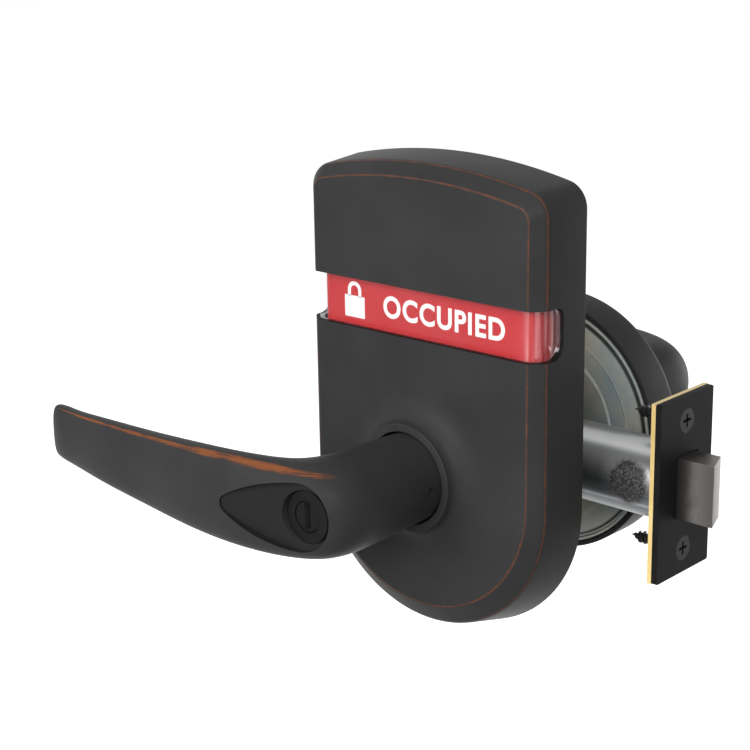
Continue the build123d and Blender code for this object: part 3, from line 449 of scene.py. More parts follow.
print_white = make_ink("print_white", (0.76, 0.75, 0.75), (0.84, 0.83, 0.83))
print_dark = make_ink("print_dark", (0.02, 0.03, 0.025), (0.03, 0.04, 0.035))
print("lens and print colours made")

# %% [markdown]
# ## Surfaces from grids
# Every new piece is an array of points, rows of rails by columns round a loop. One function turns the array
# into a mesh with two UV maps: grid, with the place along and round the surface, and wear, described above.
# The rows' corners are rounded by short Bezier curves before the mesh is made, because a row of small facets
# catches the light like the real edge, and a bevel afterwards would have to guess which edges are meant.

# %% Grid helpers
MERGE_DISTANCE = 1e-7


def full_turn(steps):
    """Angles of a full turn, in even steps."""
    return np.linspace(0, 2 * np.pi, steps, endpoint=False)


def rounded(rails, reach, steps=5):
    """Chain of rails whose inner corners become (1-k)^2 start + 2k(1-k) corner + k^2 end.

    Start and end lie reach from the corner towards its neighbours; reach is one number or one per corner.
    """
    rails = np.asarray(rails, float)
    k = np.linspace(0, 1, steps).reshape(-1, *[1] * (rails.ndim - 1))
    reaches = np.broadcast_to(reach, len(rails) - 2)
    rows = [rails[:1]]
    for before, corner, after, far in zip(rails, rails[1:], rails[2:], reaches):
        start = corner + unit(before - corner) * far
        end = corner + unit(after - corner) * far
        rows.append((1 - k) ** 2 * start + 2 * k * (1 - k) * corner + k**2 * end)
    return np.concatenate([*rows, rails[-1:]])


def rectangle(depths, heights, reach, steps=9):
    """Rounded rectangle as (0, y, z) points, from the middle of the side at the first depth."""
    (near, far), (low, high) = depths, heights
    middle = (0, near, (low + high) / 2)
    corners = [(0, near, low), (0, far, low), (0, far, high), (0, near, high)]
    return rounded([middle, *corners, middle], reach, steps)[:-1]


def surface(name, grid, material, wear=None):
    """Closed mesh from (rows, columns, 3) points in mm whose columns run round; points that meet are merged.

    Face (i, j) joins points (i, j), (i, j+1), (i+1, j+1) and (i+1, j), with j+1 taken round the loop.
    """
    rows, columns = grid.shape[:2]
    i, j = np.meshgrid(np.arange(rows - 1), np.arange(columns), indexing="ij")
    corner_rows = np.stack([i, i, i + 1, i + 1], axis=-1)
    corner_columns = np.stack([j, j + 1, j + 1, j], axis=-1)
    quads = corner_rows * columns + corner_columns % columns
    mesh = new_mesh(name, grid.reshape(-1, 3), quads.reshape(-1, 4).tolist(), material)
    along = np.concatenate([[0], np.linalg.norm(np.diff(grid, axis=0), axis=-1).mean(axis=1).cumsum()])
    along /= along[-1]
    place = np.stack([corner_columns / columns, along[corner_rows]], axis=-1)
    mesh.uv_layers.new(name="grid").data.foreach_set("uv", place.ravel())
    if wear is not None:
        thin = np.stack([wear[corner_rows, corner_columns % columns], along[corner_rows]], axis=-1)
        mesh.uv_layers.new(name="wear").data.foreach_set("uv", thin.ravel())
    work = bmesh.new()
    work.from_mesh(mesh)
    bmesh.ops.remove_doubles(work, verts=work.verts, dist=MERGE_DISTANCE)
    bmesh.ops.recalc_face_normals(work, faces=work.faces)
    work.to_mesh(mesh)
    work.free()
    return add_object(name, mesh)


def turned(name, profile, material, steps=128):
    """Profile of (radius, y) turned about the Y axis: (r cos a, y, r sin a)."""
    angle = full_turn(steps)
    radius, depth = np.asarray(profile, float).T[:, :, None]
    grid = np.stack([radius * np.cos(angle), depth + 0 * angle, radius * np.sin(angle)], axis=-1)
    return surface(name, grid, material)


def prism(name, outline, start, end, material):
    """Closed prism between two offsets from a loop of points; start and end are vectors."""
    ring = np.array(outline, float, order="C")
    centre = np.broadcast_to(ring.mean(axis=0), ring.shape)
    return surface(name, np.stack([centre + start, ring + start, ring + end, centre + end]), material)


def block(name, low, high, material):
    """Box between two corners, as a cutter or a plain bar."""
    (x0, y0, z0), (x1, y1, z1) = low, high
    ring = [(x0, 0, z0), (x1, 0, z0), (x1, 0, z1), (x0, 0, z1)]
    return prism(name, ring, (0, y0, 0), (0, y1, 0), material)


def round_bar(name, radius, start, end, steps, material):
    """Round bar between two points."""
    start, end = np.array(start, float), np.array(end, float)
    axis = unit(end - start)
    side = unit(np.cross(axis, (0.3, 0.2, 1.0)))
    other = np.cross(axis, side)
    angle = full_turn(steps)[:, None]
    return prism(name, radius * (np.cos(angle) * side + np.sin(angle) * other), start, end, material)


# %% Cutting and finishing helpers
EDGE_ANGLE = np.radians(32.0)
stood_for = set()


def cut(piece, *cutters):
    """Takes the cutters out of the piece, keeps its UV maps, and deletes the cutters."""
    for cutter in cutters:
        step = piece.modifiers.new("cut", "BOOLEAN")
        step.operation = "DIFFERENCE"
        step.solver = "EXACT"
        step.material_mode = "TRANSFER"
        step.object = cutter
    graph = bpy.context.evaluated_depsgraph_get()
    made = bpy.data.meshes.new_from_object(piece.evaluated_get(graph))
    piece.modifiers.clear()
    piece.data = made
    for cutter in cutters:
        bpy.data.objects.remove(cutter)


def finish_edges(piece, width=0.0):
    """Smooth shading with its sharp edges kept, or softened by a bevel of this width in mm."""
    piece.data.shade_smooth()
    piece.data.set_sharp_from_angle(angle=EDGE_ANGLE)
    if width:
        bevel = piece.modifiers.new("soft_edges", "BEVEL")
        bevel.width = width * MM
        bevel.segments = 2
        bevel.limit_method = "ANGLE"
        bevel.angle_limit = EDGE_ANGLE


def settle(piece, body, *replaced, soft=0.0):
    """Finishes its edges, unless soft is None, rides on its body, stands for its CAD nodes, and says so."""
    if soft is not None:
        finish_edges(piece, soft)
    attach(piece, body)
    if replaced:
        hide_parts(*replaced)
        stood_for.update(replaced)
    print(piece.name, len(piece.data.polygons), "faces")


# %% [markdown]
# ## Outside escutcheon
# The cover is a deep pressed shield: a flat face, a wide bevel, sides that lean outwards to the door, an
# arched top and a half-round foot. Its outline is a loop of six stretches with the same number of points at
# every depth, so the loops pair up and the rows between them are the surface. The rows run from the bore of
# the collar, up the flared boss, out over the face, round the two softened edges and back along the inside
# of the wall.

# %% Escutcheon sizes and outline
DOOR_FACE = 22.225
ESC_FACE = -43.525
ESC_BEVEL = 4.2
ESC_DRAFT = 1.3
ESC_WALL = 2.5
ESC_HALF_WIDTH = 42.2
ESC_TOP = 92.9
ESC_ARCH = 190.0
ESC_CORNERS = (4.0, 8.0, 8.0)
ESC_FOOTS = (-1.5, -4.2, -7.3)
MITRE_FACE = 0.414
MITRE_BEVEL = (0.969, -0.445)
SIDE_STEPS, CORNER_STEPS, ARCH_STEPS, FOOT_STEPS = 60, 14, 40, 110


def shield(half_width, top, corner, low, arch, y):
    """Shield outline at depth y: right side, corner, arch, corner, left side and a half-round foot at low."""
    corner_x = half_width - corner
    corner_z = top - arch + np.sqrt((arch - corner) ** 2 - corner_x**2)
    lean = np.arcsin(corner_x / (arch - corner))
    bend = np.linspace(np.pi / 2, lean, CORNER_STEPS, endpoint=False)
    sweep = np.linspace(lean, -lean, ARCH_STEPS, endpoint=False)
    rising = np.linspace(low, corner_z, SIDE_STEPS, endpoint=False)
    falling = np.linspace(corner_z, low, SIDE_STEPS, endpoint=False)
    foot = np.linspace(-np.pi / 2, -3 * np.pi / 2, FOOT_STEPS, endpoint=False)
    x = np.concatenate([
        np.full(SIDE_STEPS, half_width), corner_x + corner * np.sin(bend), arch * np.sin(sweep),
        -corner_x - corner * np.sin(bend[::-1]), np.full(SIDE_STEPS, -half_width), half_width * np.sin(foot),
    ])
    z = np.concatenate([
        rising, corner_z + corner * np.cos(bend), top - arch + arch * np.cos(sweep),
        corner_z + corner * np.cos(bend[::-1]), falling, low + half_width * np.cos(foot),
    ])
    return np.stack([x, np.full_like(x, y), z], axis=-1)


def shell_loops(inset):
    """Face, bevel and rim outlines of the shell, inset evenly."""
    wider = (0.0, ESC_BEVEL, ESC_BEVEL + ESC_DRAFT)
    less = (inset * MITRE_FACE, inset * MITRE_BEVEL[0], inset)
    depths = (ESC_FACE + inset, ESC_FACE + ESC_BEVEL - inset * MITRE_BEVEL[1], -DOOR_FACE)
    return [
        shield(ESC_HALF_WIDTH + w - s, ESC_TOP + w - s, corner - s, low, ESC_ARCH - s, y)
        for w, s, corner, low, y in zip(wider, less, ESC_CORNERS, ESC_FOOTS, depths)
    ]


def circle_under(loop, radius, y):
    """Circle about the lever's axis with one point under each point of the loop."""
    return unit(loop * (1, 0, 1)) * radius + (0, y, 0)


# %% Escutcheon shell
BOSS_HEIGHT = 5.4
BOSS_RADIUS = 27.0
COLLAR_RADIUS = 17.6
BARREL_RADIUS = 16.1
FACE_SHARES = np.linspace(0.08, 0.92, 12)
EDGE_ROUNDS = (1.0, 1.3, 0.4, 0.4, 1.0)
EDGE_STEPS = 7
LINE_WEAR = 0.55


def boss_curve(angle):
    """Radius and height of the flared boss, from the face at angle 0 to the collar at a quarter turn."""
    return BOSS_RADIUS - (BOSS_RADIUS - COLLAR_RADIUS) * np.sin(angle), BOSS_HEIGHT * (1 - np.cos(angle))


face_loop, bevel_loop, rim_loop = shell_loops(0.0)
face_inner, bevel_inner, rim_inner = shell_loops(ESC_WALL)
boss_rows = [circle_under(face_loop, radius, ESC_FACE - height)
             for radius, height in map(boss_curve, np.linspace(np.pi / 2, 0, 12))]
bore_front = circle_under(face_loop, BARREL_RADIUS, ESC_FACE - BOSS_HEIGHT)
bore_rear = circle_under(face_loop, BARREL_RADIUS, ESC_FACE + ESC_WALL)
face_rows = [boss_rows[-1] + (face_loop - boss_rows[-1]) * share for share in FACE_SHARES]
edge_rows = rounded([face_rows[-1], face_loop, bevel_loop, rim_loop, rim_inner, bevel_inner, face_inner],
                    EDGE_ROUNDS, EDGE_STEPS)
shell_grid = np.concatenate([[bore_rear, bore_front], boss_rows, face_rows[:-1], edge_rows, [bore_rear]])
face_edge = 2 + len(boss_rows) + len(face_rows) + EDGE_STEPS // 2
from_edges = np.arange(len(shell_grid))[:, None] - (face_edge, face_edge + EDGE_STEPS)
shell_wear = LINE_WEAR * np.exp(-(from_edges**2)).sum(axis=1)
wear_grid = np.repeat(shell_wear[:, None], shell_grid.shape[1], axis=1)
escutcheon = surface("escutcheon_shell", shell_grid, bronze_edged, wear_grid)
print("shell rows and columns:", shell_grid.shape[:2])

# %% [markdown]
# The window is a slot that wraps the face, both bevels and the front of both sides, with a larger round at
# its lower rear corners. It is cut out of the finished shell with one long bar of that section, whose
# near-black material passes to the slot's walls as painted shade.

# %% Window slot
WINDOW_LOW, WINDOW_HIGH = 42.85, 58.55
WINDOW_BACK = -32.125
WINDOW_CORNERS = (5.0, 3.0)
SLOT_FRONT = ESC_FACE - 10
SLOT_HALF = 60.0

slot_reach = [0.001, *WINDOW_CORNERS, 0.001]
slot_outline = rectangle((SLOT_FRONT, WINDOW_BACK), (WINDOW_LOW, WINDOW_HIGH), slot_reach)
# the bar's near-black material colours the slot's walls as painted shade
cut(escutcheon, prism("slot_bar", slot_outline, (-SLOT_HALF, 0, 0), (SLOT_HALF, 0, 0), ring_dark))
settle(escutcheon, "root", "outside_escutcheon")

# %% [markdown]
# ## Handles
# Each handle is one casting: a round neck that bends a quarter turn into a flat, tapering bar. It is a row
# of rounded sections, each given by its outer and rear points seen from above, its height and how square it
# is. Between them every number follows a smooth curve, so no section shows. The section is a superellipse:
# across = half width times cos a to the power 2/n, height likewise with sin a.

# %% Handle surface
HANDLE_STATIONS = np.array([
    (14.9, 73.0, -14.9, 71.5, 29.8, 2.0),
    (14.3, 85.0, -15.8, 77.0, 29.9, 2.1),
    (10.4, 92.2, -18.0, 82.0, 30.0, 2.2),
    (1.5, 96.8, -21.5, 85.6, 30.0, 2.3),
    (-9.0, 99.2, -26.5, 87.9, 29.9, 2.4),
    (-22.0, 100.8, -33.0, 89.2, 29.4, 2.5),
    (-43.0, 101.1, -46.0, 89.7, 27.8, 2.6),
    (-68.0, 99.2, -69.0, 89.2, 24.6, 2.6),
    (-94.0, 96.9, -94.5, 88.4, 21.2, 2.6),
    (-109.0, 95.0, -109.4, 87.6, 19.1, 2.6),
    (-116.5, 93.6, -116.8, 87.2, 18.1, 2.8),
    (-118.5, 92.5, -118.6, 87.9, 16.8, 2.9),
    (-119.0, 91.4, -119.0, 88.8, 14.4, 2.9),
])
ROOT_RADIUS = 14.0
BAR_ROWS, TIP_ROWS, CLOSING_ROWS = 290, 60, 8
HANDLE_COLUMNS = 176
TIP_LIFT, LIFT_START, LIFT_LENGTH = 1.6, -45.0, 74.0
TIP_CROWN = 0.25


def smooth_between(knots, values, at):
    """Natural cubic spline through the values at the knots, its second derivatives from a linear solve."""
    gap = np.diff(knots)
    size = len(knots)
    system = np.eye(size)
    inner = np.arange(1, size - 1)
    system[inner, inner - 1] = gap[:-1]
    system[inner, inner] = 2 * (gap[:-1] + gap[1:])
    system[inner, inner + 1] = gap[1:]
    slope = np.diff(values, axis=0) / gap[:, None]
    target = np.zeros_like(values)
    target[1:-1] = 6 * np.diff(slope, axis=0)
    bend = np.linalg.solve(system, target)
    k = np.clip(np.searchsorted(knots, at, side="right") - 1, 0, size - 2)
    before, after, wide = (at - knots[k])[:, None], (knots[k + 1] - at)[:, None], gap[k][:, None]
    return ((bend[k] * after**3 + bend[k + 1] * before**3) / (6 * wide)
            + (values[k] / wide - bend[k] * wide / 6) * after
            + (values[k + 1] / wide - bend[k + 1] * wide / 6) * before)


def handle_grid(root):
    """Points of the handle, its angles and the way along it; root is where the neck enters its collar."""
    neck = [(ROOT_RADIUS, root, -ROOT_RADIUS, root, 2 * ROOT_RADIUS, 2.0)]
    stations = np.concatenate([neck, HANDLE_STATIONS])
    path = np.column_stack([(stations[:, :2] + stations[:, 2:4]) / 2, stations[:, 4] / 2])
    knots = np.concatenate([[0], np.linalg.norm(np.diff(path, axis=0), axis=1).cumsum()])
    tip_start, tip_end = knots[[-4, -1]]
    at = np.concatenate([np.linspace(0, tip_start, BAR_ROWS, endpoint=False),
                         np.linspace(tip_start, tip_end, TIP_ROWS)])
    rows = smooth_between(knots, stations, at)
    angle = full_turn(HANDLE_COLUMNS)
    outer, rear, height, square = rows[:, None, :2], rows[:, None, 2:4], rows[:, 4:5], rows[:, 5:6]
    centre, half = (outer + rear) / 2, (outer - rear) / 2
    across = np.sign(np.cos(angle)) * np.abs(np.cos(angle)) ** (2 / square)
    upwards = np.sign(np.sin(angle)) * np.abs(np.sin(angle)) ** (2 / square)
    plan = centre + half * across[:, :, None]
    lift = TIP_LIFT * np.clip((LIFT_START - plan[:, :, 0]) / LIFT_LENGTH, 0, 1) ** 2
    grid = np.stack([plan[:, :, 0], -plan[:, :, 1], height / 2 * upwards + lift], axis=-1)
    tip = grid[-1]
    tip_centre = tip.mean(axis=0)
    closing = [tip_centre + (tip - tip_centre) * np.cos(a) + (-TIP_CROWN * np.sin(a), 0, 0)
               for a in np.linspace(0.2, np.pi / 2, CLOSING_ROWS)]
    root_pole = np.broadcast_to(grid[0].mean(axis=0), grid[0].shape)
    along = np.concatenate([[0], at, np.full(CLOSING_ROWS, at[-1])])
    return np.concatenate([[root_pole], grid, closing]), angle, along


# %% [markdown]
# The rubbed strip runs along the upper shoulder of the bar, from just short of the tip to the start of the
# neck, and is widest near its middle. A fainter line lies on the lower shoulder near the bend.

# %% Handle wear
INSIDE_SHIFT = 2.0
OUTSIDE_TIP, INSIDE_TIP = 49.925, 43.625
NECK_SINK = 6.025
NECK_ROOT = OUTSIDE_TIP - NECK_SINK
STRIP_ANGLE, STRIP_WIDTH, STRIP_DROP = np.radians((67, 8, 16))
STRIP_STARTS = {-1: 0.23, 1: 0.45}
LINE_ANGLE, LINE_WIDTH = np.radians((-72, 5))
LINE_PLACE, LINE_LENGTH = 0.34, 0.12


def handle_wear(angle, along, start):
    """Wear of the strip from the share start of the bar on, and of the line below the bend.

    Each is exp(-((a - a0) / width)^2); the strip narrows towards both ends and drops towards the neck.
    """
    way = (along / along.max())[:, None]
    strength = np.clip((way - start) / 0.12, 0, 1) * np.clip((0.985 - way) / 0.05, 0, 1)
    tip_share = 0.35 + 0.65 * np.clip((1 - way) / 0.45, 0, 1)
    width = STRIP_WIDTH * tip_share * np.clip((way - 0.12) / 0.25, 0.3, 1)
    middle = STRIP_ANGLE - STRIP_DROP * np.clip((0.42 - way) / 0.2, 0, 1) ** 1.5
    strip = np.exp(-((angle[None, :] - middle) / width) ** 2) * strength
    turn = (angle[None, :] - LINE_ANGLE + np.pi) % (2 * np.pi) - np.pi
    line = np.exp(-(turn / LINE_WIDTH) ** 2) * np.exp(-((way - LINE_PLACE) / LINE_LENGTH) ** 2) * 0.75
    return strip + line


def on_side(points, side):
    """Points of the outside handle, or for side 1 mirrored to the inside and a little further out."""
    return np.asarray(points) * (1, -side, 1) + (0, INSIDE_SHIFT * (side > 0), 0)


def build_handle(name, root, side):
    """Outside handle, or the inside one for side 1."""
    grid, angle, along = handle_grid(root)
    return surface(name, on_side(grid, side), bronze_brushed, handle_wear(angle, along, STRIP_STARTS[side]))


outside_handle = build_handle("outside_handle", NECK_ROOT, -1)
inside_handle = build_handle("inside_handle", NECK_ROOT - (OUTSIDE_TIP - INSIDE_TIP) - INSIDE_SHIFT, 1)

# %% [markdown]
# An egg-shaped dish with a sloping, slightly bowed floor surrounds the coin turn. It is cut with a bar of the
# egg's outline, two circles joined by long bowed sides, whose front end is that floor. Its cut faces get a
# darker bronze, because the dish lies in its own shade. Then come the bore for the ring and the pin hole of
# the catch.

# %% Dish and bores
RING_FACE = 93.5
RING_DEPTH = 7.0
RING_HOLE = 8.35
DISH_END = (-1.8, 10.8)
DISH_NOSE = (-26.6, 3.0)
DISH_SIDE_RADIUS = 60.0
DISH_SLOPE = np.radians(12.0)
DISH_BOW_START, DISH_BOW_LENGTH, DISH_BOW = -9.0, 20.6, 1.05
DISH_WALL, DISH_CLEAR = 30.0, 130.0
CATCH_RADIUS = 1.3
CATCH_FROM_COLLAR = 4.4


def drop_outline():
    """Egg outline as (x, 0, z): an arc round each end, joined by side arcs that touch both.

    A side arc's centre lies R - r1 from the one end's centre and R - r2 from the other's.
    """
    (end_x, end_r), (nose_x, nose_r) = DISH_END, DISH_NOSE
    span, near, far = end_x - nose_x, DISH_SIDE_RADIUS - end_r, DISH_SIDE_RADIUS - nose_r
    along = (far**2 - near**2 - span**2) / (2 * span)
    below = np.sqrt(near**2 - along**2)
    join, nose_join = np.arctan2(below, -along), np.arctan2(below, -along - span)
    end = np.linspace(-join, join, 61)
    side = np.linspace(join, nose_join, 25)[1:-1]
    nose = np.linspace(nose_join, 2 * np.pi - nose_join, 17)
    x = np.concatenate([
        end_x + end_r * np.cos(end), end_x + along + DISH_SIDE_RADIUS * np.cos(side),
        nose_x + nose_r * np.cos(nose), end_x + along + DISH_SIDE_RADIUS * np.cos(side[::-1]),
    ])
    z = np.concatenate([
        end_r * np.sin(end), -below + DISH_SIDE_RADIUS * np.sin(side),
        nose_r * np.sin(nose), below - DISH_SIDE_RADIUS * np.sin(side[::-1]),
    ])
    return np.stack([x, np.zeros_like(x), z], axis=-1)


def dish_rows():
    """Cutter of the dish: the floor, a sloped plane less a bow towards the nose, a wall and the far pole."""
    egg = drop_outline() * (np.cos(DISH_SLOPE), 1, 1)
    pole = np.array((DISH_END[0], 0.0, 0.0))
    floor_rows = pole + (egg - pole) * np.linspace(0, 1, 14)[:, None, None]
    x = floor_rows[..., 0]
    bow = np.clip((DISH_BOW_START - x) / DISH_BOW_LENGTH, 0, 1) ** 1.5
    floor_rows[..., 1] = -RING_FACE + x * np.tan(DISH_SLOPE) - DISH_BOW * bow
    rim = floor_rows[-1] + (0, -DISH_WALL, 0)
    far_pole = np.broadcast_to(pole + (0, -DISH_CLEAR, 0), rim.shape)
    return np.concatenate([floor_rows, [rim, far_pole]])


def finish_handle(piece, side, tip, node):
    """Cuts dish, ring bore and catch hole; tip is how far out the collar reaches."""
    dish = surface("dish_bar", on_side(dish_rows(), side), bronze_shade)
    ring_ends = on_side([(0, -RING_FACE - 8, 0), (0, -RING_FACE + RING_DEPTH, 0)], side)
    ring = round_bar("ring_bar", RING_HOLE, *ring_ends, 96, bronze)
    pin_y = (tip + CATCH_FROM_COLLAR) * side
    pin = round_bar("pin_bar", CATCH_RADIUS, (8, pin_y, 0), (20, pin_y, 0), 32, bronze)
    cut(piece, dish, ring, pin)
    settle(piece, node, node, soft=0.22)


finish_handle(outside_handle, -1, OUTSIDE_TIP, "outside_lever")
finish_handle(inside_handle, 1, INSIDE_TIP, "inside_lever")

# %% [markdown]
# ## Collars, rings and the coin turn
# Everything round about the lever's axis is a profile turned about it. The collar has a thin flange that
# catches the light, the ring is let into the dish, and the coin turn is a plug with one slot across it. The
# inside has the same ring and a thumb button.

# %% Collars and rings
COLLAR_BORE, COLLAR_BARREL, COLLAR_FLANGE = 14.9, 16.0, 17.4
OUTSIDE_ROOT, INSIDE_ROOT = 39.0, 33.725
RING_BORE, RING_MIDDLE, RING_RIM = 4.85, 6.5, 8.25


def turned_loop(name, corners, side, material, reach):
    """Closed profile of (radius, y) corners, rounded and turned; the first corner is the middle of a run."""
    chain = np.array([*corners, corners[0]], float) * (1, side)
    return turned(name, rounded(chain, reach, 6), material)


def collar(name, tip, root, side, node):
    """Threaded collar: a barrel with a flange round its mouth."""
    corners = [
        (COLLAR_BORE, tip - 4), (COLLAR_BORE, tip), (COLLAR_FLANGE, tip), (COLLAR_FLANGE, tip - 1),
        (COLLAR_BARREL, tip - 1), (COLLAR_BARREL, root), (COLLAR_BORE, root),
    ]
    piece = turned_loop(name, corners, side, bronze, [0.25, 0.4, 0.3, 0.2, 0.2, 0.2])
    settle(piece, "root", node)


def let_in_ring(name, face, side, body, node):
    """Ring round the coin turn or button."""
    rear = face - RING_DEPTH
    corners = [(RING_MIDDLE, rear), (RING_BORE, rear), (RING_BORE, face), (RING_RIM, face), (RING_RIM, rear)]
    piece = turned_loop(name, corners, side, ring_dark, [0.2, 0.35, 0.45, 0.2])
    settle(piece, body, node)


collar("outside_collar", OUTSIDE_TIP, OUTSIDE_ROOT, -1, "outside_bushing")
collar("inside_collar", INSIDE_TIP, INSIDE_ROOT, 1, "inside_bushing")
let_in_ring("coin_ring_rim", RING_FACE, -1, "outside_lever", "coin_ring")
let_in_ring("button_ring_rim", RING_FACE + INSIDE_SHIFT, 1, "inside_lever", "inside_button_ring")

# %% Coin turn and thumb button
PLUG_RADIUS = 4.7
PLUG_REAR, PLUG_FACE = -79.2, -93.2
SLOT_LOW, SLOT_TOP = (-1.2, -94.0, -4.3), (1.2, -90.7, 4.3)
BUTTON_REAR, BUTTON_FACE = 81.5, 96.0
GRIP_FOOT, GRIP_TOP, GRIP_HALF, GRIP_THICK = 94.5, 101.5, 4.2, 3.0


def plug(name, rear, face, reach):
    """Round plug of the turn, with softened rims."""
    corners = [(0, rear), (PLUG_RADIUS, rear), (PLUG_RADIUS, face), (0, face)]
    return turned(name, rounded(corners, reach), ring_dark)


coin_plug = plug("coin_plug", PLUG_REAR, PLUG_FACE, 0.3)
cut(coin_plug, block("slot_cutter", SLOT_LOW, SLOT_TOP, black_plastic))
settle(coin_plug, "privacy_turn", "coin_turn", soft=0.08)
button_root = plug("button_root", BUTTON_REAR, BUTTON_FACE, 0.4)
settle(button_root, "privacy_turn", "turn_button")
grip_outline = rectangle((GRIP_FOOT, GRIP_TOP), (-GRIP_HALF, GRIP_HALF), [0.3, 2.0, 2.0, 0.3])
grip_side = np.array((GRIP_THICK / 2, 0, 0))
button_grip = prism("button_grip", grip_outline, -grip_side, grip_side, ring_dark)
settle(button_grip, "privacy_turn", soft=0.3)

# %% [markdown]
# ## Inside rose and its disc
# The rose is a shallow spun cup with a flared middle, open to the door. A pressed zinc disc closes it: flat
# in the middle, with raised rings and a bead at its edge.

# %% Rose and disc
ROSE_FRONT = 37.225
ROSE_RADIUS = 43.65
ROSE_INSIDE = 42.15
ROSE_LIP = 29.0
ROSE_WALL = 1.5
POST_HEIGHT = 34.9
HOLE_RADIUS = 2.5

flare = [(radius, ROSE_FRONT + height)
         for radius, height in map(boss_curve, np.linspace(0.1, np.pi / 2, 10))]
edge = rounded([(ROSE_INSIDE, ROSE_LIP), (ROSE_INSIDE, DOOR_FACE), (ROSE_RADIUS, DOOR_FACE),
                (ROSE_RADIUS, ROSE_FRONT), (BOSS_RADIUS, ROSE_FRONT)], [0.3, 0.5, 2.5], 7)
inside = rounded([(COLLAR_RADIUS, ROSE_FRONT + BOSS_HEIGHT), (BARREL_RADIUS, ROSE_FRONT + BOSS_HEIGHT),
                  (BARREL_RADIUS, ROSE_FRONT - ROSE_WALL), (ROSE_INSIDE, ROSE_FRONT - ROSE_WALL),
                  (ROSE_INSIDE, ROSE_LIP)], 0.3, 4)
rose = turned("rose_cup", np.concatenate([edge, flare, inside]), bronze, 192)
settle(rose, "root", "inside_rose")

disc_front = [(9.5, 25.0), (9.5, 24.225), (25.0, 24.225), (26.8, 23.325), (32.1, 23.325), (33.0, 22.425),
              (39.4, 22.425), (39.7, 23.325), (40.6, 23.325), (40.9, 22.425), (DISC_EDGE, 22.425)]
disc_back = [(DISC_EDGE, 24.625), (39.6, 24.625), (38.4, 23.825), (33.4, 23.825), (32.5, 24.725),
             (27.2, 24.725), (25.4, 25.625), (9.5, 25.625)]
disc = turned_loop("rose_disc", disc_front + disc_back, 1, zinc_dull, 0.14)
cut(disc, *[round_bar("bolt_hole", HOLE_RADIUS, (0, 20, z), (0, 28, z), 32, bronze)
            for z in (-POST_HEIGHT, POST_HEIGHT)])
settle(disc, "root", "inside_cage_plate")

# %% [markdown]
# ## Edge plate, bolt and screws
# The black plate is a thin slab with one opening and two countersunk holes. The wood screws' thread is one
# surface too: its radius rises and falls with the place along the screw less the angle round it, which is a
# helix. The bolt is a plain steel block with softened edges on a round guide.

# %% Plate and screws
PLATE_BACK, PLATE_FRONT = 67.85, 69.85
PLATE_HALF_WIDTH, PLATE_HALF_HEIGHT = 14.2875, 28.575
OPENING_LOW, OPENING_HIGH = (60.0, -4.8, -9.9), (75.0, 6.7, 9.9)
SCREW_HEIGHT = 20.64
SCREW_FIT = 0.12
SHANK_RADIUS, HEAD_RADIUS = 2.1, 4.0
THREAD_PITCH = 1.7
THREAD_START, THREAD_END = 51.2, 66.2
THREAD_CORE, THREAD_RIDGE = 1.25, 0.85
CROSS_LOW, CROSS_HIGH, CROSS_HALF, CROSS_SLOT = 68.7, 71, 2.1, 0.45


def round_x(name, x, radius, z, material):
    """Surface round an axis along X at height z: (x, r cos a, z + r sin a)."""
    angle = full_turn(radius.shape[1])
    grid = np.stack([x + 0 * angle, radius * np.cos(angle), z + radius * np.sin(angle)], axis=-1)
    return surface(name, grid, material)


def countersink(name, z):
    """Cone from the shank's width to the head's, with room for the screw."""
    x = np.array([66.0, 66.0, PLATE_BACK, 69.7, 71.0, 71.0])[:, None]
    shank, head = SHANK_RADIUS + SCREW_FIT, HEAD_RADIUS + SCREW_FIT
    radius = np.array([0.0, shank, shank, head, head, 0.0])[:, None]
    return round_x(name, x, np.repeat(radius, 64, axis=1), z, black_plastic)


def wood_screw(name, z):
    """Screw along X; the thread's radius is core + ridge * triangle(x / pitch - angle / full turn)."""
    angle = full_turn(40)
    x = np.linspace(THREAD_START, THREAD_END, 150)[:, None]
    phase = (x / THREAD_PITCH - angle / (2 * np.pi)) % 1
    ridge = np.clip(1 - np.abs(phase - 0.5) / 0.28, 0, 1)
    thread = (THREAD_CORE + THREAD_RIDGE * ridge) * np.clip((x - 50.9) / 3.6, 0, 1)
    head_x = np.array([66.6, PLATE_BACK, 69.7, 69.8, 69.8])[:, None]
    head = np.array([2.05, SHANK_RADIUS, 3.95, 3.85, 0.0])[:, None] + 0 * angle
    radius = np.concatenate([np.zeros((1, 40)), thread, head])
    piece = round_x(name, np.concatenate([[[51.0]], x, head_x]), radius, z, dark_steel)
    cut(piece, *[
        block("cross", (CROSS_LOW, -wide, z - high), (CROSS_HIGH, wide, z + high), dark_steel)
        for wide, high in ((CROSS_SLOT, CROSS_HALF), (CROSS_HALF, CROSS_SLOT))
    ])
    return piece


lying = rectangle((-PLATE_HALF_HEIGHT, PLATE_HALF_HEIGHT), (PLATE_HALF_WIDTH, -PLATE_HALF_WIDTH), 0.8, 5)
plate = prism("edge_plate", lying[:, [0, 2, 1]], (PLATE_BACK, 0, 0), (PLATE_FRONT, 0, 0), ring_dark)
cut(plate, block("bolt_opening", OPENING_LOW, OPENING_HIGH, black_plastic),
    countersink("sink", SCREW_HEIGHT), countersink("sink", -SCREW_HEIGHT))
settle(plate, "root", "latch_faceplate", soft=0.25)
settle(wood_screw("screw_upper", SCREW_HEIGHT), "root", "faceplate_screws")
settle(wood_screw("screw_lower", -SCREW_HEIGHT), "root")

# %% Bolt
BOLT_ROOT = 61.85
BOLT_FRONT, BOLT_FRONT_TIP = -4.5, 82.55
BOLT_REAR, BOLT_REAR_TIP = 5.05, 78.9
BOLT_HALF_HEIGHT = 9.75
GUIDE_RADIUS, GUIDE_START, GUIDE_END = 11.0, 49.85, 65.85

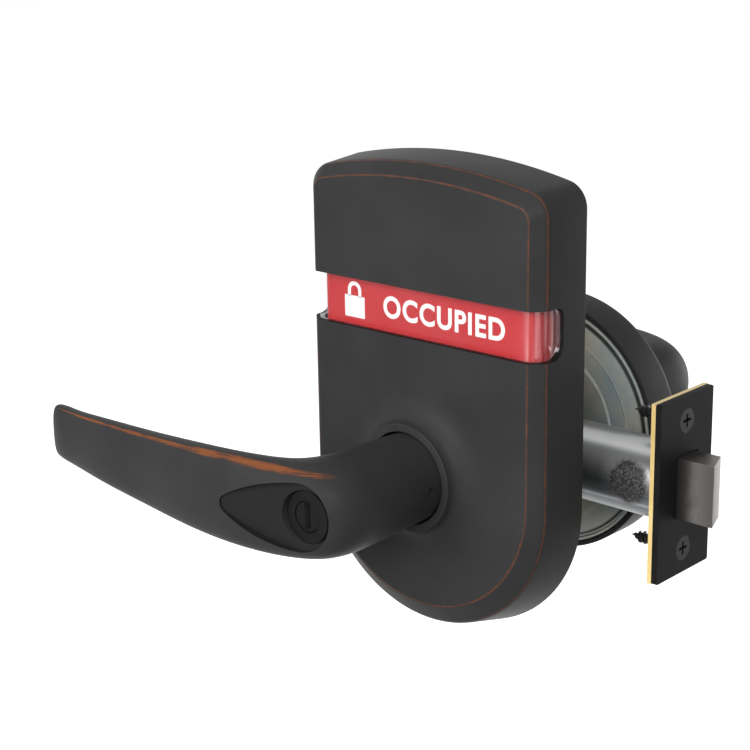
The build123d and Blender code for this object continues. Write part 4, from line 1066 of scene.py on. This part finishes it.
bolt_plan = [
    (BOLT_ROOT, 0, 0), (BOLT_ROOT, BOLT_FRONT, 0), (BOLT_FRONT_TIP, BOLT_FRONT, 0),
    (BOLT_REAR_TIP, BOLT_REAR, 0), (BOLT_ROOT, BOLT_REAR, 0), (BOLT_ROOT, 0, 0),
]
bolt_outline = rounded(bolt_plan, 0.1, 3)[:-1]
bolt = prism("bolt_head", bolt_outline, (0, 0, -BOLT_HALF_HEIGHT), (0, 0, BOLT_HALF_HEIGHT), bolt_steel)
settle(bolt, "latch_bolt", "latch_bolt", soft=0.35)
guide = round_bar("bolt_guide", GUIDE_RADIUS, (GUIDE_START, 0, 0), (GUIDE_END, 0, 0), 96, bolt_steel)
settle(guide, "latch_bolt", soft=0.3)

# %% [markdown]
# ## Springs
# The retractor's two springs and the latch's one shorten as the latch is drawn back; here they are coils that
# keep their length.

# %% Springs
# Each spring's name, CAD node, (y, z) of its axis, radius, wire radius, turns and joint.
SPRINGS = (
    ("retractor_spring_upper", "retractor_springs", (5, 11), 2.6, 0.35, 5, "retractor_slide"),
    ("retractor_spring_lower", "retractor_springs", (5, -11), 2.6, 0.35, 5, "retractor_slide"),
    ("latch_spring_coil", "latch_spring", (0, 0), 6.5, 0.5, 6, "latch_bolt_slide"),
)


def helix_tube(middle, radius, wire, start, end, turns):
    """Helix (x(t), y + R cos t, z + R sin t) with a circle of the wire's radius round every point."""
    t = np.linspace(0, 2 * np.pi * turns, 28 * turns)
    run = start + wire + (end - start - 2 * wire) * t / t[-1]
    line = np.stack([run, middle[0] + radius * np.cos(t), middle[1] + radius * np.sin(t)], axis=-1)
    outward = np.stack([0 * t, np.cos(t), np.sin(t)], axis=-1)
    over = unit(np.cross(unit(np.gradient(line, axis=0)), outward))
    angle = full_turn(10)[:, None]
    tube = line[:, None] + wire * (np.cos(angle) * outward[:, None] + np.sin(angle) * over[:, None])
    first, last = [np.broadcast_to(line[[k]][:, None], (1, *tube[0].shape)) for k in (0, -1)]
    return np.concatenate([first, tube, last])


for name, node, middle, radius, wire, turns, joint in SPRINGS:
    start, end = [1000 * corner[0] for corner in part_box(node)]
    spring = surface(name, helix_tube(middle, radius, wire, start, end, turns), spring_steel)
    spring.data.shade_smooth()
    settle(spring, "root", *({node} - stood_for), soft=None)
    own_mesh(spring)
    print(name, "from", round(start, 2), "to", round(end, 2), "mm")

# %% [markdown]
# ## Word and padlock on the flag
# The print is a plain status word and a simple padlock, drawn here. The word is a text curve made a mesh and
# laid on the flag's face, and the padlock is an arc and a block from their own formulas.

# %% Flag print
LENS_FIT, LENS_FLANGE, FLAG_SLIDE = 0.1, 0.65, 0.4
FLAG_FRONT = ESC_FACE + ESC_WALL + LENS_FIT + LENS_FLANGE + FLAG_SLIDE
PRINT_LIFT = 0.03
TRAVEL = 19.8
WORD_LOW, WORD_HIGH = 46.8, 54.0
LOCK_LOW = 44.8
LOCK_WIDTH, LOCK_BODY = 8.4, 7.0
LOCK_BAR, LOCK_LOOP, LOCK_LEGS, LOCK_SINK = 1.3, 2.2, 1.8, 0.3


def on_flag(x, z):
    """Points in mm on the flag's face, as (n, 3)."""
    return np.stack([x, np.full(len(x), FLAG_FRONT - PRINT_LIFT), z], axis=-1)


def lay_word(name, word, left, wide, raised, material):
    """Text made a mesh, scaled to its size and laid on the flag's face."""
    data = bpy.data.curves.new(name, "FONT")
    data.body = word
    data.offset = 0.03
    data.space_character = 1.12
    maker = add_object(name + "_maker", data)
    bpy.context.view_layer.update()
    mesh = bpy.data.meshes.new_from_object(maker.evaluated_get(bpy.context.evaluated_depsgraph_get()))
    bpy.data.objects.remove(maker)
    flat = np.array([point.co[:2] for point in mesh.vertices])
    share = (flat - flat.min(axis=0)) / np.ptp(flat, axis=0)
    placed = on_flag(left + share[:, 0] * wide, raised + WORD_LOW + share[:, 1] * (WORD_HIGH - WORD_LOW))
    mesh.vertices.foreach_set("co", (placed * MM).ravel())
    mesh.name = name
    mesh.materials.clear()
    mesh.materials.append(material)
    return add_object(name, mesh)


def padlock(name, left, raised, open_by, material):
    """Padlock of a block and a bent bar, two legs under a half circle; open_by lifts the right leg."""
    low, middle = LOCK_LOW + raised, left + LOCK_WIDTH / 2
    body_top = low + LOCK_BODY
    arc = np.linspace(np.pi, 0, 25)
    rails = []
    for radius in (LOCK_LOOP + LOCK_BAR / 2, LOCK_LOOP - LOCK_BAR / 2):
        x = [middle - radius, *(middle + radius * np.cos(arc)), middle + radius]
        z = body_top + open_by + LOCK_LEGS + radius * np.sin(arc)
        rails.append(np.column_stack([x, [body_top - LOCK_SINK, *z, body_top + open_by - LOCK_SINK]]))
    count = len(rails[0])
    body = [(left, low), (left + LOCK_WIDTH, low), (left + LOCK_WIDTH, body_top), (left, body_top)]
    points = on_flag(*np.concatenate([*rails, body]).T)
    strip = np.arange(count - 1)
    faces = np.stack([strip + 1, strip, strip + count, strip + count + 1], axis=-1).tolist()
    faces.append([2 * count + corner for corner in range(4)])
    return add_object(name, new_mesh(name, points, faces, material))


for made in (
    lay_word("status_word", "OCCUPIED", -16.7, 48.0, 0.0, print_white),
    padlock("status_padlock", -33.0, 0.0, 0.0, print_white),
    lay_word("other_word", "VACANT", -12.0, 38.0, TRAVEL, print_dark),
    padlock("other_padlock", -30.0, TRAVEL, 0.9, print_dark),
):
    settle(made, "indicator_flag", soft=None)

# %% [markdown]
# ## The CAD nodes that stay
# The lens, the flag, the latch tube, the back plate and the works inside keep their CAD solids, because those
# already have the right shape. Each gets the metal or plastic that it is made of, but for the two catches,
# which are black as painted shade, so that their pin holes read dark.

# %% Materials of the nodes
NODE_FINISH = (
    (lens_clear, ["window_lens"]),
    (flag_print, ["occupancy_flag"]),
    # the two catches are black as painted shade in their pin holes
    (black_plastic, ["flag_carrier", "outside_catch", "inside_catch"]),
    (tube_steel, ["latch_tube"]),
    (brass, ["latch_backplate"]),
    (spring_steel, ["outside_cage_spring", "inside_cage_spring", "turn_bar", "latch_tail", "through_bolts",
                    "escutcheon_screws"]),
    (zinc, ["bushing_nuts", "outside_mount_plate", "outside_cage", "inside_cage", "mount_posts",
            "outside_hub", "clutch_plate", "inside_hub", "indicator_cam", "clutch_cam", "chassis_shell",
            "chassis_cover", "retractor", "latch_spring_seat", "outside_spindle", "inside_spindle"]),
)
dressed = set()
for material, names in NODE_FINISH:
    dressed.update(names)
    for name in names:
        for slot in nodes[name].material_slots:
            slot.material = material
left_over = sorted(set(nodes) - dressed - stood_for)
print(len(dressed), "nodes dressed,", len(stood_for), "replaced, left:", left_over)
